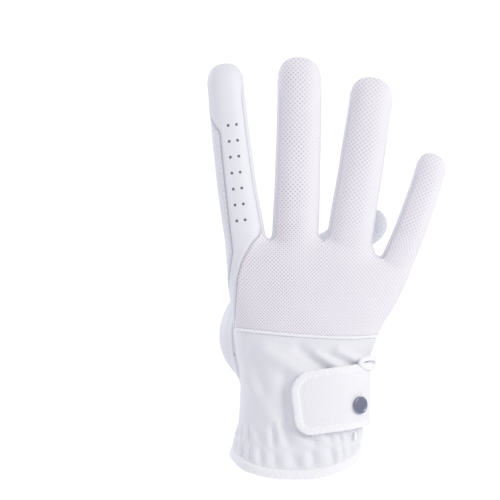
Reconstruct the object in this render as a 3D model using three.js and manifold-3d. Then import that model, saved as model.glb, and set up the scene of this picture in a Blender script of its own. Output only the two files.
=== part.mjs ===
// Horse riding glove for the right hand, standing open as if a hand filled it.
// Millimetres, +Z towards the fingertips, -Y is the back of the hand, +X is the little finger's side.
// The origin is the middle of the wrist opening.
import * as THREE from "three";
import { mergeVertices } from "three/addons/utils/BufferGeometryUtils.js";
import Module from "manifold-3d";

const wasm = await Module();
wasm.setup();

// Hand
const PALM_LENGTH = 114; // from the wrist opening to the crotch beside the middle finger
const KNUCKLE_WIDTH = 87;
const KNUCKLE_DEPTH = 29;
const WRIST_WIDTH = 66;
const WRIST_DEPTH = 40;
const HAND_SQUARENESS = 2.45; // 2 is an ellipse, more is squarer

// Cloth and leather
const WALL = 1.3;
const SEAM_GAP = 0.3; // between two pieces that are sewn together

// Fingers
const FINGER_DEPTH_SHARE = 0.82; // depth of a finger as a share of its width
const FINGER_CURL = 8; // how far the longest fingertip leans towards the palm
const FINGER_LAYER = -2; // where the fingers' middle lies at the knuckles, towards the palm
const FINGER_SQUARENESS = 2.2;
const TIP_ROUNDING = 1.15; // length of the rounded fingertip as a share of the shoulder's half width
const SIDE_STRIP_WIDTH = 10.4; // of the strips between the fingers, front to back

// Thumb
const THUMB_WIDTH = 21;
const THUMB_DEPTH_SHARE = 0.86;
const THUMB_LIFT = 27; // from the hand's middle layer to the thumb's
const THUMB_BASE_ACROSS = -0.13; // share of KNUCKLE_WIDTH where the thumb's leather base ends

// Cuff
const HEM_BAND = 4.3; // height of the bound hem
const HEM_BULGE = 0.6; // how far the hem stands proud of the cloth
const BACK_HEM_DROP = 6.5; // how far the hem hangs below the origin at the back of the hand
const PALM_HEM_DROP = 1;
const SIDE_HEM_RISE = 1.5;
const GATHER_TOP = 18.5; // height where the two rows of gathers end
const GATHER_COUNT = 26; // puffs round the wrist in each row
const GATHER_RISE = 1.2;
const FOLD_RISE = 1.1; // height of the highest fold in the back of the wrist

// Slit beside the little finger's side of the wrist
const SLIT_TOP = 42;
const SLIT_HALF_WIDTH = 1.2;
const SLIT_CORNER_RADIUS = 8;
const SLIT_BAND = 3.6; // width of the binding along the slit
const GUSSET_DEPTH = 12; // from the side seam towards the palm
const GUSSET_TOP = 57;

// Closure strap
const STRAP_END_X = -0.6; // free end, on the back of the wrist
const STRAP_HEIGHT = 32;
const STRAP_MIDDLE_Z = 30.6; // at the free end
const STRAP_TILT = 7; // degrees that it rises towards the little finger's side
const STRAP_UPPER_CORNER = 11;
const STRAP_LOWER_CORNER = 8;
const STRAP_THICKNESS = 1.7;
const STRAP_BAND = 4;
const BAND_PROUD = 0.3; // how far the strap's binding stands above its middle
const PATCH_THICKNESS = 0.9; // hook and loop under the strap's free end
const PATCH_MARGIN = 7; // from the strap's edge to the patch
const PATCH_END = 0.3; // share of WRIST_WIDTH where the patch ends
const RIVET_DIAMETER = 8.7;
const RIVET_THICKNESS = 1.5;
const RIVET_POST_DIAMETER = 3.2;
const RIVET_FROM_END = 37.5; // along the strap from its free end
const RIVET_DROP = 5; // below the strap's middle line
const RIVET_BEARING = 322; // degrees round the wrist, where 270 is the back and 360 the little finger's side

// Piping and perforations
const PIPING_DIAMETER = 1.5;
const PIPING_END = 0.28; // radians round the hand from the side seams to the piping's ends
const HOLE_DIAMETER = 1.3;
const HOLE_ROWS = 7;
const HOLE_ROW_PITCH = 8.1;
const HOLE_COLUMN_PITCH = 4.3;
const HOLES_FROM_TIP = 32;
const HOLES_ASIDE = 1.4; // how far the top row lies towards the little finger from the finger's middle
const HOLES_DRIFT = 2; // how far the lowest row lies further towards the thumb than the top row

// Far enough to reach past the whole glove with any cutter
const REACH = 400;

// Facets
const WRIST_SIDES = 40; // round the hand
const HOLLOW_SIDES = 28; // round the hollow inside it
const GATHER_SIDES = 3 * GATHER_COUNT;
const GATHER_SHARES = [0, 0.25, 0.5, 0.75]; // ring heights from the hem's binding to the top of the gathers
const WRIST_RINGS = 7; // between the gathers and the knuckle seam
const FINGER_SIDES = 14;
const FINGER_HOLLOW_SIDES = 10;
const TUBE_SHARES = [0, 0.4, 0.75, 1]; // ring places from a finger's root to its shoulder
const TIP_ANGLES = [30, 56, 78]; // degrees round a fingertip
const HOLE_SIDES = 6; // round a punched hole
const RIVET_SIDES = 20;
const PIPING_STEPS = 32; // along the piping

// Sections of the hand. height: share of PALM_LENGTH. knuckle: 0 measures the row by the wrist, 1 by the knuckles.
// thumb_side, little_side: shares of that width. back, palm: shares of that depth.
const HAND_SECTIONS = [
  { height: 0.0, knuckle: 0, thumb_side: -0.498, little_side: 0.503, back: -0.54, palm: 0.52 },
  { height: 0.162, knuckle: 0, thumb_side: -0.424, little_side: 0.532, back: -0.52, palm: 0.5 },
  { height: 0.263, knuckle: 0, thumb_side: -0.408, little_side: 0.541, back: -0.5, palm: 0.49 },
  { height: 0.404, knuckle: 0.15, thumb_side: -0.39, little_side: 0.522, back: -0.49, palm: 0.485 },
  { height: 0.491, knuckle: 0.35, thumb_side: -0.392, little_side: 0.54, back: -0.48, palm: 0.47 },
  { height: 0.579, knuckle: 0.55, thumb_side: -0.387, little_side: 0.562, back: -0.475, palm: 0.465 },
  { height: 0.684, knuckle: 0.75, thumb_side: -0.385, little_side: 0.605, back: -0.48, palm: 0.46 },
  { height: 0.789, knuckle: 0.9, thumb_side: -0.382, little_side: 0.654, back: -0.49, palm: 0.45 },
  { height: 0.858, knuckle: 1, thumb_side: -0.375, little_side: 0.655, back: -0.49, palm: 0.428 },
  { height: 0.892, knuckle: 1, thumb_side: -0.375, little_side: 0.56, back: -0.475, palm: 0.4 },
  { height: 0.925, knuckle: 1, thumb_side: -0.373, little_side: 0.49, back: -0.45, palm: 0.37 },
  { height: 0.965, knuckle: 1, thumb_side: -0.366, little_side: 0.455, back: -0.39, palm: 0.31 },
  { height: 0.991, knuckle: 1, thumb_side: -0.333, little_side: 0.4, back: -0.28, palm: 0.17 },
];

// Fingers. root_x, width: shares of KNUCKLE_WIDTH, width at the root. root_z, length: shares of PALM_LENGTH, length from
// the root to the tip. lean: degrees towards the little finger. taper: share of the width that is left at the tip's
// shoulder. bow: how far the middle of the finger bows out, as a share of its length.
const FINGERS = [
  { name: "index", root_x: -0.251, root_z: 0.86, length: 0.93, lean: -7.3, width: 0.245, taper: 0.86, bow: -0.012 },
  { name: "middle", root_x: 0.004, root_z: 0.86, length: 0.9535, lean: 1.8, width: 0.271, taper: 0.94, bow: 0.004 },
  { name: "ring", root_x: 0.298, root_z: 0.86, length: 0.87, lean: 9.0, width: 0.267, taper: 0.93, bow: 0.003 },
  { name: "little", root_x: 0.518, root_z: 0.76, length: 0.6605, lean: 20.4, width: 0.1885, taper: 0.92, bow: 0.035 },
];

// Thumb, folded across the palm. across: share of KNUCKLE_WIDTH. lift: share of THUMB_LIFT.
// height: share of PALM_LENGTH. width: share of THUMB_WIDTH.
const THUMB_STATIONS = [
  { across: -0.17, lift: 0.22, height: 0.35, width: 0.7 },
  { across: -0.225, lift: 0.33, height: 0.44, width: 1.08 },
  { across: -0.275, lift: 0.5, height: 0.54, width: 1.28 },
  { across: -0.25, lift: 0.74, height: 0.64, width: 1.27 },
  { across: -0.15, lift: 0.92, height: 0.73, width: 1.18 },
  { across: 0.0, lift: 1.02, height: 0.82, width: 1.06 },
  { across: 0.16, lift: 1.04, height: 0.905, width: 1.0 },
  { across: 0.32, lift: 1.02, height: 0.99, width: 0.95 },
  { across: 0.45, lift: 1.0, height: 1.055, width: 0.88 },
];

// Folds in the back of the wrist. Heights: shares of PALM_LENGTH, across: shares of WRIST_WIDTH.
// rise: share of FOLD_RISE, below 0 for a valley. spread: half width of the fold as a share of WRIST_WIDTH.
const WRIST_FOLDS = [
  { from_across: -0.21, from_height: 0.5, to_across: 0.07, to_height: 0.405, rise: 1, spread: 0.06 },
  { from_across: 0.05, from_height: 0.51, to_across: 0.24, to_height: 0.42, rise: -1.5, spread: 0.06 },
  { from_across: 0.24, from_height: 0.5, to_across: 0.46, to_height: 0.45, rise: 0.9, spread: 0.055 },
  { from_across: -0.35, from_height: 0.38, to_across: -0.15, to_height: 0.19, rise: 0.9, spread: 0.06 },
];

// Seam between the leather strip of the index finger and the mesh. height: share of PALM_LENGTH.
// across: share of the way over the hand, from the thumb's side to the little finger's.
const STRIP_BORDER = [
  { height: 0.56, across: -0.01 },
  { height: 0.725, across: 0.033 },
  { height: 0.823, across: 0.045 },
  { height: 0.895, across: 0.077 },
  { height: 0.935, across: 0.113 },
  { height: 0.98, across: 0.141 },
  { height: 1.01, across: 0.181 },
];

// Knuckle seam across the back of the hand. across: share of KNUCKLE_WIDTH. height: share of PALM_LENGTH.
const KNUCKLE_SEAM = [
  { across: -0.4, height: 0.603 },
  { across: -0.34, height: 0.597 },
  { across: 0.04, height: 0.571 },
  { across: 0.3, height: 0.561 },
  { across: 0.55, height: 0.567 },
];

// Seam between back and palm. height: share of PALM_LENGTH. to_back: 0 where the seam runs along the middle of
// the side, 1 where it runs along the back edge of the strips between the fingers.
const SIDE_SEAM = [
  { height: -0.3, to_back: 0 },
  { height: 0.55, to_back: 0 },
  { height: 0.74, to_back: 0.15 },
  { height: 0.86, to_back: 0.75 },
  { height: 0.95, to_back: 1 },
  { height: 1.2, to_back: 1 },
  { height: 1.45, to_back: 1 },
  { height: 1.7, to_back: 1 },
  { height: 2.0, to_back: 1 },
];
const PALM_SEAM_HEIGHTS = [0.6, 0.99, 1.2, 1.45, 1.7, 2.0]; // shares of PALM_LENGTH

// Strips between the fingers
const STRIP_FROM_TIP = 9; // from a fingertip to the top of the strip beside it
const STRIP_BOTTOM = 0.85; // share of PALM_LENGTH
const STRIP_ROOT = 0.15; // share of a finger's length where a strip's side starts

const mix = THREE.MathUtils.lerp;
const radians = THREE.MathUtils.degToRad;

// A column of a table at a position along another column, as a smooth curve through the rows.
function alongTable(table, key, column, at) {
  const last = table.length - 1;
  const row = Math.max(0, table.findLastIndex((r) => r[key] <= at));
  const low = Math.min(row, last - 1);
  const span = table[low + 1][key] - table[low][key];
  const t = THREE.MathUtils.clamp((at - table[low][key]) / span, 0, 1);
  const slope = (i) => {
    const before = table[Math.max(i - 1, 0)];
    const after = table[Math.min(i + 1, last)];
    return ((after[column] - before[column]) / (after[key] - before[key])) * span;
  };
  const a = table[low][column];
  const b = table[low + 1][column];
  const blend = t * t * (3 - 2 * t);
  const bend = t * (1 - t) * ((1 - t) * slope(low) - t * slope(low + 1));
  return mix(a, b, blend) + bend;
}

// Solids and meshes

function solidFromTriangles(points, faces) {
  const positions = points.flatMap((p) => [p.x, p.y, p.z]);
  const mesh = new wasm.Mesh({
    numProp: 3,
    vertProperties: new Float32Array(positions),
    triVerts: new Uint32Array(faces),
  });
  return new wasm.Manifold(mesh);
}

function solidFromGeometry(geometry) {
  const bare = geometry.clone();
  bare.deleteAttribute("normal");
  bare.deleteAttribute("uv");
  const merged = mergeVertices(bare, 1e-4);
  const mesh = new wasm.Mesh({
    numProp: 3,
    vertProperties: new Float32Array(merged.attributes.position.array),
    triVerts: new Uint32Array(merged.index.array),
  });
  return new wasm.Manifold(mesh);
}

// The largest piece of a cut solid, without the crumbs that a cut can leave.
function largestPiece(solid) {
  const pieces = solid.decompose();
  return pieces.reduce((best, piece) => (piece.volume() > best.volume() ? piece : best));
}

function meshFromSolid(name, solid, material) {
  const made = solid.getMesh();
  const positions = new Float32Array(made.numVert * 3);
  for (let i = 0; i < made.numVert; i++) {
    const start = i * made.numProp;
    positions.set(made.vertProperties.subarray(start, start + 3), i * 3);
  }
  const geometry = new THREE.BufferGeometry();
  geometry.setAttribute("position", new THREE.BufferAttribute(positions, 3));
  geometry.setIndex(new THREE.BufferAttribute(made.triVerts, 1));
  geometry.computeVertexNormals();
  const mesh = new THREE.Mesh(geometry, material);
  mesh.name = name;
  return mesh;
}

// A closed skin over a stack of rings, which may have different numbers of points.
function solidFromRings(rings) {
  const points = rings.flat();
  const faces = [];
  let first = 0;
  rings.slice(1).forEach((upper, n) => {
    const lower = rings[n];
    const second = first + lower.length;
    const low = (i) => first + (i % lower.length);
    const high = (j) => second + (j % upper.length);
    let i = 0;
    let j = 0;
    while (i < lower.length || j < upper.length) {
      const lowerIsNext = (i + 1) / lower.length <= (j + 1) / upper.length;
      if (j === upper.length || (i < lower.length && lowerIsNext)) {
        faces.push(low(i), low(i + 1), high(j));
        i++;
      } else {
        faces.push(low(i), high(j + 1), high(j));
        j++;
      }
    }
    first = second;
  });
  const closeEnd = (ring, start, facesDown) => {
    const middle = points.length;
    const centre = new THREE.Vector3();
    ring.forEach((p) => centre.addScaledVector(p, 1 / ring.length));
    points.push(centre);
    ring.forEach((p, i) => {
      const a = start + i;
      const b = start + ((i + 1) % ring.length);
      faces.push(middle, facesDown ? b : a, facesDown ? a : b);
    });
  };
  closeEnd(rings[0], 0, true);
  closeEnd(rings.at(-1), first, false);
  return solidFromTriangles(points, faces);
}

// A cutter with a flat outline, given as [across, height] pairs, seen from the front and running through in y.
function cutterFromFront(outline) {
  const shape = new THREE.Shape(outline.map(([x, z]) => new THREE.Vector2(x, z)));
  const geometry = new THREE.ExtrudeGeometry(shape, { depth: 2 * REACH, bevelEnabled: false });
  geometry.translate(0, 0, -REACH);
  geometry.rotateX(Math.PI / 2);
  return solidFromGeometry(geometry);
}

// The same seen from the side, given as [depth, height] pairs, running in x from a start onwards.
function cutterFromSide(outline, startX) {
  const shape = new THREE.Shape(outline.map(([y, z]) => new THREE.Vector2(y, z)));
  const geometry = new THREE.ExtrudeGeometry(shape, { depth: 2 * REACH, bevelEnabled: false });
  geometry.rotateX(Math.PI / 2);
  geometry.rotateZ(Math.PI / 2);
  geometry.translate(startX, 0, 0);
  return solidFromGeometry(geometry);
}

// Surface of the hand

const ovalCos = (angle, squareness) => Math.sign(Math.cos(angle)) * Math.abs(Math.cos(angle)) ** (2 / squareness);
const ovalSin = (angle, squareness) => Math.sign(Math.sin(angle)) * Math.abs(Math.sin(angle)) ** (2 / squareness);

function handSection(z) {
  const height = z / PALM_LENGTH;
  const column = (name) => alongTable(HAND_SECTIONS, "height", name, height);
  const width = mix(WRIST_WIDTH, KNUCKLE_WIDTH, column("knuckle"));
  const depth = mix(WRIST_DEPTH, KNUCKLE_DEPTH, column("knuckle"));
  return {
    left: column("thumb_side") * width,
    right: column("little_side") * width,
    back: column("back") * depth,
    palm: column("palm") * depth,
  };
}

// How far the folds lift a point on the back of the wrist.
function foldRise(x, y, z) {
  if (y > 0) return 0;
  const point = new THREE.Vector2(x, z);
  return WRIST_FOLDS.reduce((total, fold) => {
    const from = new THREE.Vector2(fold.from_across * WRIST_WIDTH, fold.from_height * PALM_LENGTH);
    const to = new THREE.Vector2(fold.to_across * WRIST_WIDTH, fold.to_height * PALM_LENGTH);
    const along = to.clone().sub(from);
    const share = THREE.MathUtils.clamp(point.clone().sub(from).dot(along) / along.lengthSq(), 0, 1);
    const away = point.distanceTo(from.clone().addScaledVector(along, share));
    const spread = fold.spread * WRIST_WIDTH;
    return total + fold.rise * FOLD_RISE * Math.exp(-((away / spread) ** 2));
  }, 0);
}

// A point on the hand's surface, moved out by grow. The angle is 0 at the little finger's side and 90 degrees at the palm.
function handPoint(z, angle, grow, folded = true) {
  const s = handSection(z);
  const cos = ovalCos(angle, HAND_SQUARENESS);
  const sin = ovalSin(angle, HAND_SQUARENESS);
  const x = (s.left + s.right) / 2 + ((s.right - s.left) / 2 + grow) * cos;
  const y = (s.back + s.palm) / 2 + ((s.palm - s.back) / 2 + grow) * sin;
  const rise = folded ? foldRise(x, y, z) : 0;
  return new THREE.Vector3(x + rise * cos, y + rise * sin, z);
}

function handRing(z, sides, grow, folded = true) {
  return Array.from({ length: sides }, (_, i) => handPoint(z, (2 * Math.PI * i) / sides, grow, folded));
}

// Height of the hem's lower edge round the wrist.
function hemHeight(angle) {
  const towardsPalm = Math.sin(angle);
  const drop = towardsPalm < 0 ? BACK_HEM_DROP : PALM_HEM_DROP;
  return SIDE_HEM_RISE - (drop + SIDE_HEM_RISE) * towardsPalm ** 2;
}

// A ring at a share of the way from a height above the hem to the top of the gathers.
function cuffRing(share, sides, grow, aboveHem, riseAt = () => 0) {
  return Array.from({ length: sides }, (_, i) => {
    const angle = (2 * Math.PI * i) / sides;
    const z = mix(hemHeight(angle) + aboveHem, GATHER_TOP, share);
    return handPoint(z, angle, grow + riseAt(angle, share), false);
  });
}

// Two rows of puffs, each row half a puff out of step with the other.
function gatherRise(angle, share) {
  const row = share < 0.5 ? 0 : 1;
  const withinRow = share * 2 - row;
  const wave = Math.cos(GATHER_COUNT * angle + Math.PI * (row + 0.5 * withinRow));
  return (GATHER_RISE / 2) * (1 + wave) * Math.sin(Math.PI * withinRow);
}

// The filled hand without fingers, from a height above the hem, moved out by grow.
function handSolid(grow, aboveHem, gathered) {
  const sides = grow < 0 ? HOLLOW_SIDES : WRIST_SIDES;
  const rings = [];
  if (gathered) {
    GATHER_SHARES.forEach((share) => rings.push(cuffRing(share, GATHER_SIDES, grow, aboveHem, gatherRise)));
  } else {
    rings.push(cuffRing(0, sides, grow, aboveHem));
    rings.push(cuffRing(0.5, sides, grow, aboveHem));
  }
  const seamHeight = KNUCKLE_SEAM[1].height * PALM_LENGTH;
  for (let i = 0; i <= WRIST_RINGS; i++) {
    rings.push(handRing(mix(GATHER_TOP, seamHeight, i / WRIST_RINGS), sides, grow));
  }
  const above = HAND_SECTIONS.filter((row) => row.height > KNUCKLE_SEAM[1].height);
  above.forEach((row) => rings.push(handRing(row.height * PALM_LENGTH + Math.min(grow, 0), sides, grow)));
  return solidFromRings(rings);
}

// Fingers and thumb

const fingerLength = (finger) => finger.length * PALM_LENGTH;
const fingerWidth = (finger) => finger.width * KNUCKLE_WIDTH;

// Where the middle layer of the fingers lies at a height.
function fingerLayer(z) {
  const root = HAND_SECTIONS.at(-1).height * PALM_LENGTH;
  const longest = fingerLength(FINGERS[1]);
  return FINGER_LAYER + FINGER_CURL * Math.max(0, (z - root) / longest) ** 2;
}

// A point on a finger's axis at a share of its length.
function fingerAxis(finger, share) {
  const lean = radians(finger.lean);
  const along = share * fingerLength(finger);
  const aside = finger.bow * fingerLength(finger) * Math.sin(Math.PI * share);
  const x = finger.root_x * KNUCKLE_WIDTH + along * Math.sin(lean) + aside * Math.cos(lean);
  const z = finger.root_z * PALM_LENGTH + along * Math.cos(lean) - aside * Math.sin(lean);
  return new THREE.Vector3(x, fingerLayer(z), z);
}

// Rings square to a path. Each station has a point, half width and half depth; the depth points towards the palm.
function sweptRings(stations, sides, squareness) {
  return stations.map((station, n) => {
    const before = stations[Math.max(n - 1, 0)].point;
    const after = stations[Math.min(n + 1, stations.length - 1)].point;
    const along = after.clone().sub(before).normalize();
    const side = new THREE.Vector3(0, 1, 0).cross(along).normalize();
    const towardsPalm = along.clone().cross(side);
    return Array.from({ length: sides }, (_, i) => {
      const angle = (2 * Math.PI * i) / sides;
      return station.point
        .clone()
        .addScaledVector(side, station.halfWidth * ovalCos(angle, squareness))
        .addScaledVector(towardsPalm, station.halfDepth * ovalSin(angle, squareness));
    });
  });
}

function sweptSolid(stations, grow) {
  const sides = grow < 0 ? FINGER_HOLLOW_SIDES : FINGER_SIDES;
  return solidFromRings(sweptRings(stations, sides, FINGER_SQUARENESS));
}

// A tube with a round tip along a path. The path is a function of a share, 1 at the very tip.
function roundTippedTube(path, length, widthAt, depthShare, grow) {
  const shoulderHalf = widthAt(1) / 2;
  const tipLength = shoulderHalf * TIP_ROUNDING;
  const tubeShare = 1 - tipLength / length;
  const stations = TUBE_SHARES.map((share) => ({
    point: path(share * tubeShare),
    halfWidth: widthAt(share) / 2 + grow,
    halfDepth: (widthAt(share) / 2) * depthShare + grow,
  }));
  const tipGrown = tipLength + grow;
  TIP_ANGLES.forEach((degrees) => {
    const angle = radians(degrees);
    const beyond = tipGrown * Math.sin(angle);
    stations.push({
      point: path(tubeShare + beyond / length),
      halfWidth: (shoulderHalf + grow) * Math.cos(angle),
      halfDepth: (shoulderHalf * depthShare + grow) * Math.cos(angle),
    });
  });
  return sweptSolid(stations, grow);
}

function fingerSolid(finger, grow) {
  const widthAt = (share) => fingerWidth(finger) * mix(1, finger.taper, share);
  const path = (share) => fingerAxis(finger, share);
  return roundTippedTube(path, fingerLength(finger), widthAt, FINGER_DEPTH_SHARE, grow);
}

function thumbPoint(row) {
  return new THREE.Vector3(row.across * KNUCKLE_WIDTH, row.lift * THUMB_LIFT, row.height * PALM_LENGTH);
}

function thumbSolid(grow) {
  const stations = THUMB_STATIONS.map((row) => ({
    point: thumbPoint(row),
    halfWidth: (row.width * THUMB_WIDTH) / 2 + grow,
    halfDepth: (row.width * THUMB_WIDTH * THUMB_DEPTH_SHARE) / 2 + grow,
  }));
  const shoulder = stations.at(-1);
  const along = shoulder.point.clone().sub(stations.at(-2).point).normalize();
  const tipLength = shoulder.halfWidth * TIP_ROUNDING;
  TIP_ANGLES.forEach((degrees) => {
    const angle = radians(degrees);
    stations.push({
      point: shoulder.point.clone().addScaledVector(along, tipLength * Math.sin(angle)),
      halfWidth: shoulder.halfWidth * Math.cos(angle),
      halfDepth: shoulder.halfDepth * Math.cos(angle),
    });
  });
  return sweptSolid(stations, grow);
}

// Skin of the whole glove
const BELOW_EDGE = 3; // how far an inner form reaches past the edge that it opens
const panelsAboveHem = HEM_BAND + SEAM_GAP;
const fingersOuter = FINGERS.map((finger) => fingerSolid(finger, 0));
const fingersInner = FINGERS.map((finger) => fingerSolid(finger, -WALL));
const handFilled = handSolid(0, panelsAboveHem, true);
const handOuter = fingersOuter.reduce((all, finger) => all.add(finger), handFilled);
const handHollow = handSolid(-WALL, panelsAboveHem - BELOW_EDGE, false);
const handInner = fingersInner.reduce((all, finger) => all.add(finger), handHollow);
const thumbHollow = thumbSolid(-WALL);
const handSkin = handOuter.subtract(handInner).subtract(thumbHollow);
const thumbSkin = thumbSolid(0).subtract(thumbHollow).subtract(handSolid(SEAM_GAP, 0, false));

// Seams

// Outline seen from the side of all that lies on the back of the side seam, moved towards the palm by shift.
function backSideOutline(shift) {
  const seam = SIDE_SEAM.map((row) => {
    const z = row.height * PALM_LENGTH;
    return [row.to_back * (fingerLayer(z) - SIDE_STRIP_WIDTH / 2) + shift, z];
  });
  return [[-REACH, seam[0][1]], ...seam, [-REACH, seam.at(-1)[1]]];
}

// Outline seen from the front of all that lies above the knuckle seam, moved up by shift.
function aboveSeamOutline(shift) {
  const seam = KNUCKLE_SEAM.map((row) => [row.across * KNUCKLE_WIDTH, row.height * PALM_LENGTH + shift]);
  const left = [-REACH, seam[0][1]];
  const right = [REACH, seam.at(-1)[1]];
  return [left, ...seam, right, [REACH, REACH], [-REACH, REACH]];
}

// Outline seen from the front of the index finger's leather strip, widened towards the middle finger by shift.
function stripOutline(shift) {
  const border = STRIP_BORDER.map((row) => {
    const z = row.height * PALM_LENGTH;
    const section = handSection(z);
    return [mix(section.left, section.right, row.across) + shift, z];
  });
  const between = [STRIP_ROOT, 2 * STRIP_ROOT, 1].map((share) => {
    const middle = fingerAxis(FINGERS[0], share).lerp(fingerAxis(FINGERS[1], share), 0.5);
    return [middle.x + shift, middle.z];
  });
  const crotchAndUp = between.filter(([, z]) => z > border.at(-1)[1]);
  const top = [between.at(-1)[0], REACH];
  return [[-REACH, border[0][1]], ...border, ...crotchAndUp, top, [-REACH, REACH]];
}

// Outline seen from the front of the strip between two fingers, widened by shift.
function betweenFingersOutline(left, right, shift) {
  const topShare = (finger) => 1 - (STRIP_FROM_TIP - shift) / fingerLength(finger);
  const leftTop = fingerAxis(left, topShare(left));
  const rightTop = fingerAxis(right, topShare(right));
  const bottomZ = STRIP_BOTTOM * PALM_LENGTH - shift;
  const leftX = fingerAxis(left, STRIP_ROOT).x - shift;
  const rightX = fingerAxis(right, STRIP_ROOT).x + shift;
  return [
    [leftX, bottomZ],
    [rightX, bottomZ],
    [rightTop.x + shift, rightTop.z],
    [leftTop.x - shift, leftTop.z],
  ];
}

// Outline seen from the side of the slit in the cuff, with its rounded lower corners, widened by shift.
function slitOutline(shift) {
  const radius = SLIT_CORNER_RADIUS - shift;
  const centreY = SLIT_HALF_WIDTH + SLIT_CORNER_RADIUS;
  const centreZ = SIDE_HEM_RISE + SLIT_CORNER_RADIUS;
  const corner = [0, 22.5, 45, 67.5, 90].map((degrees) => {
    const angle = radians(degrees);
    return [centreY - radius * Math.cos(angle), centreZ - radius * Math.sin(angle)];
  });
  const side = [[SLIT_HALF_WIDTH + shift, SLIT_TOP + shift], ...corner, [centreY, -REACH]];
  const otherSide = side.map(([y, z]) => [-y, z]).reverse();
  return [...side, ...otherSide];
}

// The closed outline of the strap seen from the front, drawn in by inset, starting at its lower corner.
function strapOutline(inset) {
  const half = STRAP_HEIGHT / 2;
  const lower = STRAP_LOWER_CORNER;
  const upper = STRAP_UPPER_CORNER;
  const arc = (centre, radius, degrees) =>
    degrees.map((d) => [
      centre[0] - (radius - inset) * Math.cos(radians(d)),
      centre[1] + (radius - inset) * Math.sin(radians(d)),
    ]);
  const local = [
    [REACH, -half + inset],
    [REACH, half - inset],
    ...arc([upper, half - upper], upper, [90, 67, 45, 22, 0]),
    ...arc([lower, lower - half], lower, [0, -22, -45, -67, -90]),
  ];
  const tilt = radians(STRAP_TILT);
  return local
    .map(([along, across]) => [
      STRAP_END_X + along * Math.cos(tilt) - across * Math.sin(tilt),
      STRAP_MIDDLE_Z + along * Math.sin(tilt) + across * Math.cos(tilt),
    ])
    .reverse();
}

// Panels
const halfGap = SEAM_GAP / 2;
const backOfHand = cutterFromSide(backSideOutline(-halfGap), -REACH);
const backOfHandAndGap = cutterFromSide(backSideOutline(halfGap), -REACH);
const aboveSeam = cutterFromFront(aboveSeamOutline(halfGap));
const aboveSeamAndGap = cutterFromFront(aboveSeamOutline(-halfGap));
const stripSide = cutterFromFront(stripOutline(-halfGap));
const stripSideAndGap = cutterFromFront(stripOutline(halfGap));

const slit = cutterFromSide(slitOutline(0), 0);
const slitBand = cutterFromSide(slitOutline(SLIT_BAND), 0);
const slitBandAndGap = cutterFromSide(slitOutline(SLIT_BAND + SEAM_GAP), 0);

const backSkin = handSkin.intersect(backOfHand).subtract(slitBandAndGap);
const wristBackPanel = backSkin.subtract(aboveSeamAndGap);
const backAboveSeam = backSkin.intersect(aboveSeam);

// Rows of round holes along the middle of the index finger.
function perforations() {
  const index = FINGERS[0];
  const reach = fingerWidth(index);
  const cutters = [];
  for (let row = 0; row < HOLE_ROWS; row++) {
    const fromTip = HOLES_FROM_TIP + row * HOLE_ROW_PITCH;
    const centre = fingerAxis(index, 1 - fromTip / fingerLength(index));
    const drift = (HOLES_DRIFT * row) / (HOLE_ROWS - 1);
    [-0.5, 0.5].forEach((side) => {
      const lean = radians(index.lean);
      const aside = side * HOLE_COLUMN_PITCH + HOLES_ASIDE - drift;
      const drill = new THREE.CylinderGeometry(HOLE_DIAMETER / 2, HOLE_DIAMETER / 2, reach, HOLE_SIDES);
      drill.translate(centre.x + aside * Math.cos(lean), centre.y - reach / 2, centre.z - aside * Math.sin(lean));
      cutters.push(solidFromGeometry(drill));
    });
  }
  return cutters.reduce((all, cutter) => all.add(cutter));
}

const indexStrip = backAboveSeam.intersect(stripSide).subtract(perforations());
const meshPanel = backAboveSeam.subtract(stripSideAndGap);

const betweenPairs = [0, 1, 2].map((i) => [FINGERS[i], FINGERS[i + 1]]);
const sideSkin = handSkin.subtract(backOfHandAndGap);
const palmSideOutline = (shift) => {
  const seam = PALM_SEAM_HEIGHTS.map((height) => {
    const z = height * PALM_LENGTH;
    return [fingerLayer(z) + SIDE_STRIP_WIDTH / 2 - shift, z];
  });
  return [[REACH, seam[0][1]], [REACH, seam.at(-1)[1]], ...seam.reverse()];
};
const palmOfFingers = cutterFromSide(palmSideOutline(-halfGap), -REACH);
const palmOfFingersAndGap = cutterFromSide(palmSideOutline(halfGap), -REACH);
const fourchettes = betweenPairs.map(([left, right]) => {
  const region = cutterFromFront(betweenFingersOutline(left, right, -halfGap));
  return sideSkin.subtract(palmOfFingersAndGap).intersect(region);
});
const betweenRegions = betweenPairs.map(([left, right]) => {
  return cutterFromFront(betweenFingersOutline(left, right, halfGap)).subtract(palmOfFingers);
});

const gussetOutline = (shift) => [
  [-shift, -REACH],
  [GUSSET_DEPTH + shift, -REACH],
  [GUSSET_DEPTH + shift, GUSSET_TOP + shift],
  [-shift, GUSSET_TOP + shift],
];
const gussetSide = cutterFromSide(gussetOutline(-halfGap), 0);
const gussetSideAndGap = cutterFromSide(gussetOutline(halfGap), 0);
const palmSkin = betweenRegions.reduce((skin, region) => skin.subtract(region), sideSkin);
const ulnarGusset = sideSkin.intersect(gussetSide).subtract(slitBandAndGap);
const palmPanel = palmSkin.subtract(gussetSideAndGap).subtract(slitBandAndGap);

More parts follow.
